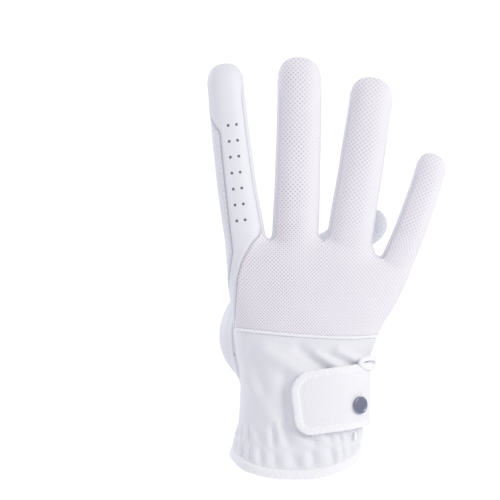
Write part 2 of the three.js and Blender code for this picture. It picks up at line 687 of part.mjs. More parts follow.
// Thumb panels: the pad side faces the back of the hand, the base is smooth leather.
function thumbLayerOutline(shift) {
  const path = THUMB_STATIONS.map((row) => {
    const p = thumbPoint(row);
    return [p.y + shift, p.z];
  });
  const top = [path.at(-1)[0], REACH];
  return [[-REACH, -REACH], [path[0][0], -REACH], ...path, top, [-REACH, REACH]];
}
const thumbBaseOutline = (shift) => {
  const x = THUMB_BASE_ACROSS * KNUCKLE_WIDTH + shift;
  return [[-REACH, -REACH], [x, -REACH], [x, REACH], [-REACH, REACH]];
};
const padSide = cutterFromSide(thumbLayerOutline(-halfGap), -REACH);
const padSideAndGap = cutterFromSide(thumbLayerOutline(halfGap), -REACH);
const thumbBaseSide = cutterFromFront(thumbBaseOutline(-halfGap));
const thumbBaseSideAndGap = cutterFromFront(thumbBaseOutline(halfGap));
const thumbBasePanel = thumbSkin.intersect(padSide).intersect(thumbBaseSide);
const thumbPadPanel = thumbSkin.intersect(padSide).subtract(thumbBaseSideAndGap);
const thumbBackPanel = thumbSkin.subtract(padSideAndGap);

// Hem and slit binding
function hemBinding() {
  const sides = WRIST_SIDES;
  const outer = [
    [0, -HEM_BULGE],
    [0.25, HEM_BULGE],
    [0.75, HEM_BULGE],
    [1, 0],
  ].map(([share, grow]) => bindingRing(share * HEM_BAND, sides, grow));
  const innerGrow = -WALL - HEM_BULGE;
  const inner = [-BELOW_EDGE, HEM_BAND + BELOW_EDGE].map((above) => bindingRing(above, sides, innerGrow));
  const loop = solidFromRings(outer).subtract(solidFromRings(inner));
  const edgeSkin = handSolid(HEM_BULGE, 0, false).subtract(handSolid(innerGrow, -BELOW_EDGE, false));
  const edges = edgeSkin.intersect(slitBand);
  return loop.add(edges).subtract(slit);
}

function bindingRing(above, sides, grow) {
  return Array.from({ length: sides }, (_, i) => {
    const angle = (2 * Math.PI * i) / sides;
    return handPoint(hemHeight(angle) + above, angle, grow, false);
  });
}

// Closure strap, over the back of the wrist and round the little finger's side
const strapInner = Math.max(PATCH_THICKNESS + 2 * SEAM_GAP, FOLD_RISE + BAND_PROUD + SEAM_GAP);
const strapOuter = strapInner + STRAP_THICKNESS;
const bandInner = strapInner - BAND_PROUD / 2;
const bandOuter = strapOuter + BAND_PROUD;

function wristSleeve(inner, outer) {
  const bottom = STRAP_MIDDLE_Z - STRAP_HEIGHT;
  const top = STRAP_MIDDLE_Z + STRAP_HEIGHT;
  const steps = 6;
  const ringsAt = (grow) =>
    Array.from({ length: steps + 1 }, (_, i) => handRing(mix(bottom, top, i / steps), WRIST_SIDES, grow, false));
  return solidFromRings(ringsAt(outer)).subtract(solidFromRings(ringsAt(inner)));
}

const strapSide = cutterFromSide(
  [
    [-REACH, -REACH],
    [GUSSET_DEPTH, -REACH],
    [GUSSET_DEPTH, REACH],
    [-REACH, REACH],
  ],
  STRAP_END_X - 2 * SEAM_GAP,
);
const strapArea = cutterFromFront(strapOutline(0));
const strapMiddleArea = cutterFromFront(strapOutline(STRAP_BAND));
const strapMiddleAreaAndGap = cutterFromFront(strapOutline(STRAP_BAND - SEAM_GAP));

// Rivet through the strap, as a turned piece whose axis is the strap's normal
function rivetFrame() {
  const z = STRAP_MIDDLE_Z + RIVET_FROM_END * Math.sin(radians(STRAP_TILT)) - RIVET_DROP;
  const angle = radians(RIVET_BEARING);
  const onStrap = handPoint(z, angle, strapOuter, false);
  const before = handPoint(z, angle - 0.05, strapOuter, false);
  const after = handPoint(z, angle + 0.05, strapOuter, false);
  const tangent = after.sub(before);
  const outwards = new THREE.Vector3(tangent.y, -tangent.x, 0).normalize();
  const turn = new THREE.Quaternion().setFromUnitVectors(new THREE.Vector3(0, 1, 0), outwards);
  return new THREE.Matrix4().compose(onStrap, turn, new THREE.Vector3(1, 1, 1));
}

function rivetSolid() {
  const radius = RIVET_DIAMETER / 2;
  const post = RIVET_POST_DIAMETER / 2;
  const seat = SEAM_GAP;
  const below = -STRAP_THICKNESS - SEAM_GAP - PATCH_THICKNESS / 2;
  const rim = 0.25 * RIVET_THICKNESS;
  const profile = [
    [0, below],
    [post, below],
    [post, seat],
    [radius, seat],
    [radius, seat + RIVET_THICKNESS - rim],
    [radius - rim, seat + RIVET_THICKNESS],
    [radius - 3 * rim, seat + RIVET_THICKNESS],
    [radius - 3.6 * rim, seat + RIVET_THICKNESS - 0.6 * rim],
    [0, seat + RIVET_THICKNESS - 0.4 * rim],
  ].map(([x, y]) => new THREE.Vector2(x, y));
  const turned = new THREE.LatheGeometry(profile, RIVET_SIDES);
  turned.applyMatrix4(rivetFrame());
  return solidFromGeometry(turned);
}

function rivetHole() {
  const drill = new THREE.CylinderGeometry(
    RIVET_POST_DIAMETER / 2 + SEAM_GAP,
    RIVET_POST_DIAMETER / 2 + SEAM_GAP,
    4 * STRAP_THICKNESS,
    RIVET_SIDES,
  );
  drill.applyMatrix4(rivetFrame());
  return solidFromGeometry(drill);
}

const closureStrap = wristSleeve(strapInner, strapOuter)
  .intersect(strapMiddleArea)
  .intersect(strapSide)
  .subtract(rivetHole());
const strapBinding = wristSleeve(bandInner, bandOuter)
  .intersect(strapArea)
  .subtract(strapMiddleAreaAndGap)
  .intersect(strapSide);
const patchEnd = cutterFromFront([
  [-REACH, -REACH],
  [PATCH_END * WRIST_WIDTH, -REACH],
  [PATCH_END * WRIST_WIDTH, REACH],
  [-REACH, REACH],
]);
const patchArea = cutterFromFront(strapOutline(PATCH_MARGIN)).intersect(patchEnd);
const closurePatch = wristSleeve(SEAM_GAP, SEAM_GAP + PATCH_THICKNESS)
  .intersect(patchArea)
  .intersect(backOfHand);

// Piping along the knuckle seam
function pipingSolid() {
  const radius = PIPING_DIAMETER / 2;
  const level = KNUCKLE_SEAM[2].height * PALM_LENGTH;
  const points = Array.from({ length: PIPING_STEPS / 2 + 1 }, (_, i) => {
    const angle = mix(Math.PI + PIPING_END, 2 * Math.PI - PIPING_END, (2 * i) / PIPING_STEPS);
    const across = handPoint(level, angle, 0).x / KNUCKLE_WIDTH;
    const z = alongTable(KNUCKLE_SEAM, "across", "height", across) * PALM_LENGTH;
    return handPoint(z, angle, radius + SEAM_GAP);
  });
  const path = new THREE.CatmullRomCurve3(points);
  const section = new THREE.Shape();
  section.absarc(0, 0, radius, 0, 2 * Math.PI, false);
  const geometry = new THREE.ExtrudeGeometry(section, { extrudePath: path, steps: PIPING_STEPS, curveSegments: 3 });
  return solidFromGeometry(geometry);
}

// Materials
const mesh = new THREE.MeshStandardMaterial({ color: 0xf3f1f6, roughness: 0.9, metalness: 0 });
const leather = new THREE.MeshStandardMaterial({ color: 0xf6f5f9, roughness: 0.55, metalness: 0 });
const stretch = new THREE.MeshStandardMaterial({ color: 0xf4f3f8, roughness: 0.85, metalness: 0 });
const binding = new THREE.MeshStandardMaterial({ color: 0xf7f6fa, roughness: 0.95, metalness: 0 });
const hook = new THREE.MeshStandardMaterial({ color: 0xe9e8ee, roughness: 0.9, metalness: 0 });
const gunmetal = new THREE.MeshStandardMaterial({ color: 0x6d6f76, roughness: 0.35, metalness: 1 });

const glove = new THREE.Group();
const pieces = [
  ["back_mesh_panel", meshPanel, mesh],
  ["index_side_panel", indexStrip, leather],
  ["palm_panel", palmPanel, leather],
  ["fourchette_index_middle", fourchettes[0], leather],
  ["fourchette_middle_ring", fourchettes[1], leather],
  ["fourchette_ring_little", fourchettes[2], leather],
  ["thumb_base_panel", thumbBasePanel, leather],
  ["thumb_pad_panel", thumbPadPanel, leather],
  ["thumb_back_panel", thumbBackPanel, mesh],
  ["wrist_back_panel", wristBackPanel, stretch],
  ["ulnar_gusset", ulnarGusset, leather],
  ["knuckle_seam_piping", pipingSolid(), binding],
  ["hem_binding", hemBinding(), binding],
  ["closure_strap", closureStrap, stretch],
  ["strap_binding", strapBinding, binding],
  ["closure_patch", closurePatch, hook],
  ["strap_rivet", rivetSolid(), gunmetal],
];
pieces.forEach(([name, solid, material]) => glove.add(meshFromSolid(name, largestPiece(solid), material)));

export default glove;
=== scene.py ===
"""Horse riding glove for the right hand, standing open as if a hand filled it.

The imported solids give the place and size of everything. This file dresses them: one smooth skin is made
from the same sections and tables, cut along the seams into panels of mesh, leather and stretch cloth, and
the bindings, piping, strap and rivet are laid on it. Metres, +Z towards the fingertips, -Y is the back of
the hand and +X is the little finger's side.
"""

import math

import bpy
import numpy as np
import openvdb
from bpy.props import FloatProperty, FloatVectorProperty, IntProperty, PointerProperty
from bpy.types import Operator, Panel, PropertyGroup
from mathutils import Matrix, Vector, kdtree, noise


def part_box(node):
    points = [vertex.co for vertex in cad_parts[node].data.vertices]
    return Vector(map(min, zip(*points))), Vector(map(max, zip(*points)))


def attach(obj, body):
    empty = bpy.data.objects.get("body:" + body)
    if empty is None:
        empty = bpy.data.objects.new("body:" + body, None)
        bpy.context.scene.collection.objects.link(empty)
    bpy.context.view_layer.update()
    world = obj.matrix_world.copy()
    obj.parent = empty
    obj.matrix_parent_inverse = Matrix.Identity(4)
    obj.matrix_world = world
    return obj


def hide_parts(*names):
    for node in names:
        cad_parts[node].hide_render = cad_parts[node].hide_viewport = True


bl_info = {
    "name": "Riding glove",
    "version": (1, 0, 0),
    "blender": (4, 5, 0),
    "location": "3D View > Sidebar > Glove",
    "description": "Builds a riding glove with a mesh back, an embossed palm and a wrist strap",
    "category": "Object",
}

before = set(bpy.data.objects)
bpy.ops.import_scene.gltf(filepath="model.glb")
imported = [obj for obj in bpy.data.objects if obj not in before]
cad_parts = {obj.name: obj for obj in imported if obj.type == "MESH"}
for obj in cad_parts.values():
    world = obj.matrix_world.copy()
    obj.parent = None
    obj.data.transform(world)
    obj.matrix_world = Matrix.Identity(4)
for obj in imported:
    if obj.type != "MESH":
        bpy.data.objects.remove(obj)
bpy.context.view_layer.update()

MM = 0.001


def table(columns, *rows):
    """Rows of numbers as dictionaries under the names of their columns."""
    return [dict(zip(columns.split(), row)) for row in rows]


# Shape of the hand and fingers, as squareness: 2 is an ellipse, more is squarer.
HAND_SQUARENESS = 2.45
FINGER_SQUARENESS = 2.2
TIP_SQUARENESS = 2.3  # of the fingertips, seen from the front
FINGER_DEPTH_SHARE = 0.82
THUMB_DEPTH_SHARE = 0.86
TIP_ROUNDING = 1.15  # length of a rounded tip, in half widths
FINGER_LAYER = -2 * MM  # where the fingers' middle layer lies at their roots

# Sections of the hand. height: share of the palm length. knuckle: 0 measures the row by the wrist, 1 by
# the knuckles. thumb_side, little_side: shares of that width. back, palm: shares of that depth.
HAND_SECTIONS = table(
    "height knuckle thumb_side little_side back palm",
    (0.0, 0, -0.498, 0.503, -0.54, 0.52),
    (0.162, 0, -0.424, 0.532, -0.52, 0.5),
    (0.263, 0, -0.408, 0.541, -0.5, 0.49),
    (0.404, 0.15, -0.39, 0.522, -0.49, 0.485),
    (0.491, 0.35, -0.392, 0.54, -0.48, 0.47),
    (0.579, 0.55, -0.387, 0.562, -0.475, 0.465),
    (0.684, 0.75, -0.385, 0.605, -0.48, 0.46),
    (0.789, 0.9, -0.382, 0.654, -0.49, 0.45),
    (0.858, 1, -0.375, 0.655, -0.49, 0.428),
    (0.892, 1, -0.375, 0.56, -0.475, 0.4),
    (0.925, 1, -0.373, 0.49, -0.45, 0.37),
    (0.965, 1, -0.366, 0.455, -0.39, 0.31),
    (0.991, 1, -0.333, 0.4, -0.28, 0.17),
)
WIDEST = 0.858  # share of the palm length where the hand is widest

# Fingers from the index on. root_x, width: shares of the knuckle width. root_z, length: shares of the palm
# length. lean: degrees towards the little finger. taper: share of the width left at the tip. bow: share of
# the length. crotch: height where it comes free, in mm. open: how far its mesh is pulled open, which sets
# how strong its mesh dots are; that it falls towards the little finger is painted light, dots washed out
# where the light falls.
FINGERS = table(
    "root_x root_z length lean width taper bow crotch open",
    (-0.251, 0.86, 0.93, -7.3, 0.245, 0.86, -0.012, 116, 1.0),
    (0.004, 0.86, 0.9535, 1.8, 0.271, 0.94, 0.004, 118, 0.9),
    (0.298, 0.86, 0.87, 9.0, 0.267, 0.93, 0.003, 113, 0.75),
    (0.518, 0.76, 0.6605, 21.4, 0.1885, 0.92, 0.027, 107, 0.6),
)
INDEX, MIDDLE, RING, LITTLE = range(4)

# Strips along the sides of each finger. back_left, back_right, palm: from the finger's middle layer to the
# seam, as shares of half the strip width. left_end, right_end: how far under the fingertip they run out,
# in mm.
SIDE_STRIPS = table(
    "back_left back_right palm left_end right_end",
    (1.25, 0.85, 1.1, 20, 3.5),
    (1.0, 0.5, 1.0, 6, 9),
    (0.88, 0.5, 1.0, 1, 22),
    (0.68, -0.1, 0.68, 0, 0),
)
STRIP_NARROWEST = 0.3  # share of the strip's width left where it runs out
STRIP_NARROWS = (3 * MM, 16 * MM)  # from that place, over which it narrows
STRIP_TOP = 9 * MM  # how far under the fingertips the strips' pieces end
STRIP_BOTTOM = 0.85  # share of the palm length where they begin

# Punched holes in the index finger's strip, in pairs
HOLE_ROWS = 7
HOLE_ROW_PITCH = 8.1 * MM
HOLE_COLUMN_PITCH = 4.3 * MM
HOLES_FROM_TIP = 32 * MM
HOLES_ASIDE = 1.4 * MM
HOLES_DRIFT = 2.0 * MM
FAR_FROM_HOLES = 50 * MM
LINING_REACH = 3.6 * MM  # how far the lining runs out round each hole

# Thumb, folded across the palm. across: share of the knuckle width. lift: share of the thumb lift.
# height: share of the palm length. width: share of the thumb width.
THUMB_STATIONS = table(
    "across lift height width",
    (-0.17, 0.22, 0.35, 0.7),
    (-0.225, 0.33, 0.44, 1.08),
    (-0.275, 0.5, 0.54, 1.28),
    (-0.25, 0.74, 0.64, 1.27),
    (-0.15, 0.92, 0.73, 1.18),
    (0.0, 1.02, 0.82, 1.06),
    (0.16, 1.04, 0.905, 1.0),
    (0.32, 1.02, 0.99, 0.95),
    (0.45, 1.0, 1.055, 0.88),
)
THUMB_BASE_ACROSS = -0.13  # share of the knuckle width where the smooth base meets the embossed pad
THUMB_REACH = 22 * MM  # how far from the thumb's middle line it counts

# Folds in the back of the wrist. start, end: across as a share of the wrist width, and height as a share
# of the palm length. rise: share of the fold height, below 0 for a valley. spread: half width as a share
# of the wrist width.
WRIST_FOLDS = table(
    "start end rise spread",
    ((-0.21, 0.5), (0.07, 0.405), 1.4, 0.055),
    ((0.05, 0.51), (0.24, 0.42), -1.35, 0.045),
    ((0.17, 0.49), (0.34, 0.435), 1.0, 0.032),
    ((0.27, 0.485), (0.45, 0.445), -0.6, 0.026),
    ((0.34, 0.505), (0.5, 0.455), 1.2, 0.035),
    ((-0.35, 0.38), (-0.15, 0.19), 0.75, 0.06),
    ((-0.33, 0.5), (-0.24, 0.33), -0.8, 0.05),
    ((-0.07, 0.39), (-0.05, 0.18), -1.1, 0.05),
)

# Seam between the index finger's leather strip and the mesh. height: share of the palm length.
# across: share of the way over the hand, from the thumb's side to the little finger's.
STRIP_BORDER = table(
    "height across",
    (0.56, -0.01),
    (0.725, 0.033),
    (0.823, 0.045),
    (0.895, 0.077),
    (0.935, 0.113),
    (0.98, 0.141),
    (1.01, 0.181),
)
STRIP_ROOT = 0.15  # share of the finger's length where the seam runs on between the two fingers

# Knuckle seam over the back of the hand. across: share of the knuckle width. height: of the palm length.
KNUCKLE_SEAM = table(
    "across height",
    (-0.4, 0.603),
    (-0.34, 0.597),
    (0.04, 0.571),
    (0.3, 0.561),
    (0.55, 0.567),
)

# Seam between back and palm. to_back: 0 along the middle of the side, 1 along the fingers' back edge.
SIDE_SEAM = table(
    "height to_back",
    (-0.3, 0.0),
    (0.3, 0.0),
    (0.48, 0.17),
    (0.58, 0.1),
    (0.74, 0.15),
    (0.86, 0.75),
    (0.95, 1.0),
    (2.0, 1.0),
)

# Hem: how high its lower edge lies at the sides of the wrist, and how low at the back and the palm
HEM_LITTLE_SIDE = 1.5 * MM
HEM_THUMB_SIDE = 3.2 * MM
HEM_BACK_DROP = 6.5 * MM
HEM_PALM_DROP = 1.0 * MM
HEM_COVER = 0.45  # share of the binding's height that hides the cloth's edge
GATHER_TOP = 18.5 * MM  # where the upper row of gathers ends

# Slit in the cuff, on the little finger's side, and the smooth gusset beside it
SLIT_HALF_WIDTH = 1.2 * MM
SLIT_COVER = 1.5 * MM  # width of the cloth's edge that the binding hides
SLIT_CORNER = 8 * MM  # radius where the slit turns out into the hem
SLIT_FOOT = 1.5 * MM  # height where that corner begins
SLIT_TOP = 42 * MM
GUSSET_DEPTH = 12 * MM
GUSSET_TOP = 57 * MM

# How the skin is made
SKIN_LOW = np.array([-50.0, -30.0, -14.0]) * MM
SKIN_HIGH = np.array([84.0, 44.0, 214.0]) * MM
VOXEL = 0.85 * MM
FINGER_BLEND = 1.6 * MM  # rounding of the crotch between two fingers
HAND_BLEND = 4 * MM
HAND_TOP_BLEND = 2 * MM
THUMB_BLEND = 5 * MM
ROOT_CLOSING = 6  # how fast a finger's form closes below its root, inside the hand
TUBE_SCALE = 0.95  # makes the fields of fingers and thumb grow about as fast as the distance
RELAX_ROUNDS = 4
WALL = 1.0 * MM
SEAM_DEPTH = 0.55 * MM
SEAM_WIDTH = 0.55 * MM
SEAM_PUFF = 0.18 * MM  # how far the cloth swells beside a seam
PUFF_PLACE = 1.6 * MM
PUFF_WIDTH = 0.9 * MM
# Width of the painted shade along the seams
PAINTED_SHADE_WIDTH = 0.5 * MM
FOREVER = 50 * MM  # a distance that ends a choice between fields
KNIT_STRETCH = 1.5  # how far the mesh is pulled open along the fingers


def linear(hex_colour):
    """An sRGB hex value as the linear colour that Blender works in."""
    parts = [int(hex_colour[i : i + 2], 16) / 255 for i in (1, 3, 5)]
    return tuple(c / 12.92 if c <= 0.04045 else ((c + 0.055) / 1.055) ** 2.4 for c in parts)


def length(name, description, default):
    """A size in metres that a user may change."""
    return FloatProperty(name=name, description=description, default=default, unit="LENGTH")


def tint(name, description, hex_colour):
    """A colour that a user may change, from its sRGB hex value."""
    default = linear(hex_colour)
    return FloatVectorProperty(
        name=name, description=description, subtype="COLOR", default=default, min=0, max=1
    )


class GloveSizes(PropertyGroup):
    """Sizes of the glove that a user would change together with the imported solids."""

    palm_length: length("Palm length", "From the wrist opening to the fingers", 0.114)
    knuckle_width: length("Knuckle width", "Width of the hand at the knuckles", 0.087)
    knuckle_depth: length("Knuckle depth", "Depth of the hand at the knuckles", 0.029)
    wrist_width: length("Wrist width", "Width of the wrist", 0.066)
    wrist_depth: length("Wrist depth", "Depth of the wrist", 0.04)
    finger_curl: length("Finger curl", "How far the fingertips lean to the palm", 0.008)
    thumb_width: length("Thumb width", "Width of the thumb", 0.021)
    thumb_lift: length("Thumb lift", "From the hand's middle layer to the thumb's", 0.027)
    side_strip_width: length("Side strip width", "Width of the strips between fingers", 0.0104)
    hem_band: length("Hem binding", "Height of the bound hem", 0.0043)
    gather_rise: length("Gathers", "How far the gathered puffs stand out", 0.0013)
    gather_count: IntProperty(name="Gather count", description="Puffs round the wrist in a row", default=26)
    fold_rise: length("Folds", "Height of the folds in the back of the wrist", 0.0013)
    strap_height: length("Strap height", "Height of the closure strap", 0.032)
    strap_band: length("Strap binding", "Width of the binding round the strap", 0.004)
    rivet_diameter: length("Rivet", "Diameter of the rivet's head", 0.0087)
    piping_diameter: length("Piping", "Diameter of the piping over the knuckles", 0.0015)
    hole_diameter: length("Holes", "Diameter of the punched holes", 0.0015)


class GloveColours(PropertyGroup):
    """Colours of the glove's cloths, leather and metal, and of the painted shade in its seams, grooves, mesh
    openings and punched holes.
    """

    mesh: tint("Mesh", "Knitted mesh", "#F1EFF5")
    # Painted shade: the mauve of the openings stands for the shade on the layer behind them
    mesh_openings_painted_shade: tint("Mesh openings", "Openings of the mesh", "#CABCC6")
    leather: tint("Leather", "Synthetic leather", "#EBEBF1")
    # Painted shade: the grooves are coloured darker, where shade falls in them
    leather_groove_painted_shade: tint("Leather grooves", "Grooves between the embossed cells", "#E4E4EC")
    stretch_cloth: tint("Stretch cloth", "Cloth of the wrist", "#EDEDF2")
    strap: tint("Strap", "Ribbed cloth of the strap", "#F2F2F6")
    binding: tint("Binding", "Soft binding and piping", "#F7F7FA")
    loop_tape: tint("Loop tape", "Hook-and-loop tape under the strap", "#E9E8EE")
    # Painted shade: the lining's mauve-grey is darker than the glove, so that the punched holes show shade
    lining: tint("Lining", "Thin lining behind the punched holes", "#A39CAB")
    # Painted shade: the colour that the seams are darkened towards, where shade falls in the turned-in edges
    painted_seam_shade: tint("Seam shade", "Shade along the turned-in seams", "#8E8BA3")
    rivet: tint("Rivet", "Gunmetal of the rivet", "#8E91A5")


def sizes():
    return bpy.context.scene.glove_sizes


def colours():
    return bpy.context.scene.glove_colours


# Numbers and tables


def mix(a, b, share):
    return a + (b - a) * share


def smooth_step(low, high, at):
    t = np.clip((at - low) / (high - low), 0, 1)
    return t * t * (3 - 2 * t)


def along_table(table, key, column, at):
    """A column of a table at places along another column, as a smooth curve through the rows."""
    keys = np.array([row[key] for row in table], float)
    values = np.array([row[column] for row in table], float)
    rows = np.arange(len(keys))
    before = np.maximum(rows - 1, 0)
    after = np.minimum(rows + 1, len(keys) - 1)
    slopes = (values[after] - values[before]) / (keys[after] - keys[before])
    low = np.clip(np.searchsorted(keys, at, side="right") - 1, 0, len(keys) - 2)
    span = keys[low + 1] - keys[low]
    t = np.clip((at - keys[low]) / span, 0, 1)
    bend = t * (1 - t) * ((1 - t) * slopes[low] - t * slopes[low + 1]) * span
    return mix(values[low], values[low + 1], t * t * (3 - 2 * t)) + bend


def smooth_least(a, b, reach):
    """The smaller of two fields, rounded where they are within reach of each other."""
    h = np.clip(0.5 + 0.5 * (b - a) / reach, 0, 1)
    return mix(b, a, h) - reach * h * (1 - h)


def unit(vectors):
    return vectors / np.maximum(np.linalg.norm(vectors, axis=-1, keepdims=True), 1e-12)


# Surface of the hand, fingers and thumb


def hand_section(z):
    """Left, right, back and palm of the hand at a height."""
    s = sizes()
    height = z / s.palm_length
    knuckle = along_table(HAND_SECTIONS, "height", "knuckle", height)
    width = mix(s.wrist_width, s.knuckle_width, knuckle)
    depth = mix(s.wrist_depth, s.knuckle_depth, knuckle)
    left = along_table(HAND_SECTIONS, "height", "thumb_side", height) * width
    right = along_table(HAND_SECTIONS, "height", "little_side", height) * width
    back = along_table(HAND_SECTIONS, "height", "back", height) * depth
    palm = along_table(HAND_SECTIONS, "height", "palm", height) * depth
    return left, right, back, palm


def oval(angle, squareness):
    """Shares of the half width and half depth at an angle round a squared ellipse."""
    power = 2 / squareness
    cos = np.sign(np.cos(angle)) * np.abs(np.cos(angle)) ** power
    sin = np.sign(np.sin(angle)) * np.abs(np.sin(angle)) ** power
    return cos, sin


def hand_point(z, angle, grow):
    """A point on the hand moved out by grow. The angle is 0 at the little finger's side, 90 degrees at the
    palm."""
    left, right, back, palm = hand_section(z)
    cos, sin = oval(angle, HAND_SQUARENESS)
    x = (left + right) / 2 + ((right - left) / 2 + grow) * cos
    y = (back + palm) / 2 + ((palm - back) / 2 + grow) * sin
    return np.stack(np.broadcast_arrays(x, y, z), axis=-1)


def hand_angle(points):
    """The angle round the hand of points on its surface, from -180 to 180 degrees, in radians."""
    left, right, back, palm = hand_section(points[:, 2])
    cos = (points[:, 0] - (left + right) / 2) / ((right - left) / 2)
    sin = (points[:, 1] - (back + palm) / 2) / ((palm - back) / 2)
    power = HAND_SQUARENESS / 2
    return np.arctan2(np.sign(sin) * np.abs(sin) ** power, np.sign(cos) * np.abs(cos) ** power)


def back_angle(x, z, grow=0.0):
    """The angle of the point at the back of the hand that is seen at x, z from the front."""
    left, right, _, _ = hand_section(z)
    share = np.clip((x - (left + right) / 2) / ((right - left) / 2 + grow), -1, 1)
    return -np.arccos(np.sign(share) * np.abs(share) ** (HAND_SQUARENESS / 2))


def palm_angle(y, z, grow=0.0):
    """The angle of the point on the little finger's side at depth y."""
    _, _, back, palm = hand_section(z)
    share = np.clip((y - (back + palm) / 2) / ((palm - back) / 2 + grow), -1, 1)
    return np.arcsin(np.sign(share) * np.abs(share) ** (HAND_SQUARENESS / 2))


def hand_normal(z, angle, grow):
    """Outward normals of the hand's surface."""
    step = 1e-3
    round_hand = hand_point(z, angle + step, grow) - hand_point(z, angle - step, grow)
    up = hand_point(z + step * 0.1, angle, grow) - hand_point(z - step * 0.1, angle, grow)
    return unit(np.cross(round_hand, up))


def hem_height(angle):
    """Height of the hem's lower edge: lowest at the back of the hand, highest by the thumb."""
    side_rise = mix(HEM_LITTLE_SIDE, HEM_THUMB_SIDE, smooth_step(0.65, 1, -np.cos(angle)))
    towards_palm = np.sin(angle)
    drop = np.where(towards_palm < 0, HEM_BACK_DROP, HEM_PALM_DROP)
    return side_rise - (drop + side_rise) * towards_palm**2


def finger_layer(z):
    """Where the middle layer of the fingers lies at a height."""
    s = sizes()
    root = HAND_SECTIONS[-1]["height"] * s.palm_length
    longest = FINGERS[MIDDLE]["length"] * s.palm_length
    return FINGER_LAYER + s.finger_curl * np.maximum(0, (z - root) / longest) ** 2


def finger_place(finger, x, z):
    """Shares along a finger, and distances aside from its axis, of points seen from the front."""
    s = sizes()
    lean = math.radians(finger["lean"])
    length = finger["length"] * s.palm_length
    from_root_x = x - finger["root_x"] * s.knuckle_width
    from_root_z = z - finger["root_z"] * s.palm_length
    share = (from_root_x * math.sin(lean) + from_root_z * math.cos(lean)) / length
    bow = finger["bow"] * length * np.sin(math.pi * np.clip(share, 0, 1))
    aside = from_root_x * math.cos(lean) - from_root_z * math.sin(lean) - bow
    return share, aside


def finger_axis(finger, share):
    """Points on a finger's axis, as x and z."""
    s = sizes()
    lean = math.radians(finger["lean"])
    length = finger["length"] * s.palm_length
    along = share * length
    bow = finger["bow"] * length * np.sin(math.pi * share)
    x = finger["root_x"] * s.knuckle_width + along * math.sin(lean) + bow * math.cos(lean)
    z = finger["root_z"] * s.palm_length + along * math.cos(lean) - bow * math.sin(lean)
    return x, z


def finger_half_width(finger, share):
    s = sizes()
    length = finger["length"] * s.palm_length
    width = finger["width"] * s.knuckle_width
    tube_share = 1 - width * finger["taper"] / 2 * TIP_ROUNDING / length
    half = width / 2 * mix(1, finger["taper"], np.clip(share / tube_share, 0, 1))
    return half, tube_share


def squared_radius(a, b, squareness):
    """How far out a point lies in a squared ellipse, 1 on its edge. a, b: shares of the half axes."""
    return (np.abs(a) ** squareness + np.abs(b) ** squareness) ** (1 / squareness)


def finger_field(finger, x, y, z):
    """About the distance outside a finger's surface, in metres."""
    share, aside = finger_place(finger, x, z)
    half, tube_share = finger_half_width(finger, share)
    deep = y - finger_layer(z)
    ring = squared_radius(aside / half, deep / (half * FINGER_DEPTH_SHARE), FINGER_SQUARENESS)
    beyond = np.maximum(0, share - tube_share) / (1 - tube_share)
    below = np.maximum(0, -share) * ROOT_CLOSING
    power = TIP_SQUARENESS
    return ((ring**power + beyond**power + below**power) ** (1 / power) - 1) * half * TUBE_SCALE


def hand_field(x, y, z):
    """About the distance outside the hand without its fingers."""
    left, right, back, palm = hand_section(z)
    across = (x - (left + right) / 2) / ((right - left) / 2)
    deep = (y - (back + palm) / 2) / ((palm - back) / 2)
    radius = squared_radius(across, deep, HAND_SQUARENESS)
    from_middle = np.hypot(x - (left + right) / 2, y - (back + palm) / 2)
    field = from_middle * (1 - 1 / np.maximum(radius, 0.05))
    field = np.maximum(field, (radius - 1) * (palm - back) / 2 * 0.8)
    top = HAND_SECTIONS[-1]["height"] * sizes().palm_length
    return -smooth_least(-field, top - z, HAND_TOP_BLEND)


def thumb_path():
    """Places, frames and half widths of closely spaced stations along the thumb."""
    s = sizes()
    scales = {
        "across": s.knuckle_width,
        "lift": s.thumb_lift,
        "height": s.palm_length,
        "width": s.thumb_width / 2,
    }
    rows = [
        {"row": number, **{column: station[column] * scale for column, scale in scales.items()}}
        for number, station in enumerate(THUMB_STATIONS)
    ]
    last = len(rows) - 1
    at = np.linspace(0, last, 8 * last + 1)
    columns = ("across", "lift", "height")
    centre = np.stack([along_table(rows, "row", column, at) for column in columns], axis=1)
    half = along_table(rows, "row", "width", at)
    along = unit(np.gradient(centre, axis=0))
    side = unit(np.cross(np.array([0.0, 1.0, 0.0]), along))
    deep = np.cross(along, side)
    return centre, along, side, deep, half


def thumb_box():
    """The corners of the room in which the thumb counts."""
    centre = thumb_path()[0]
    return centre.min(0) - THUMB_REACH, centre.max(0) + THUMB_REACH


def thumb_place(points):
    """Where points lie about the thumb: aside, deep towards the palm, along it, its half width there, and how
    far past its ends."""
    centre, along, side, deep, half = thumb_path()
    best = np.full(len(points), np.inf)
    nearest = np.zeros(len(points), int)
    for i, c in enumerate(centre):
        away = ((points - c) ** 2).sum(1)
        closer = away < best
        best[closer] = away[closer]
        nearest[closer] = i
    spacing = np.linalg.norm(np.diff(centre, axis=0), axis=1).mean()
    last = len(centre) - 1
    step = ((points - centre[nearest]) * along[nearest]).sum(1) / spacing
    at = np.clip(nearest + np.clip(step, -0.6, 0.6), 0, last)
    low = np.minimum(at.astype(int), last - 1)
    t = at - low

    def here(values):
        return mix(values[low], values[low + 1], t if values.ndim == 1 else t[:, None])

    offset = points - here(centre)
    half_here = here(half)
    aside = (offset * here(side)).sum(1)
    deep_here = (offset * here(deep)).sum(1)
    past = (offset * here(along)).sum(1)
    tip_length = half[-1] * TIP_ROUNDING
    beyond = np.where(at >= last, np.maximum(past, 0) / tip_length, 0)
    before = np.where(at <= 0, np.maximum(-past, 0) / (half[0] * 0.8), 0)
    return aside, deep_here, at * spacing, half_here, np.hypot(beyond, before)


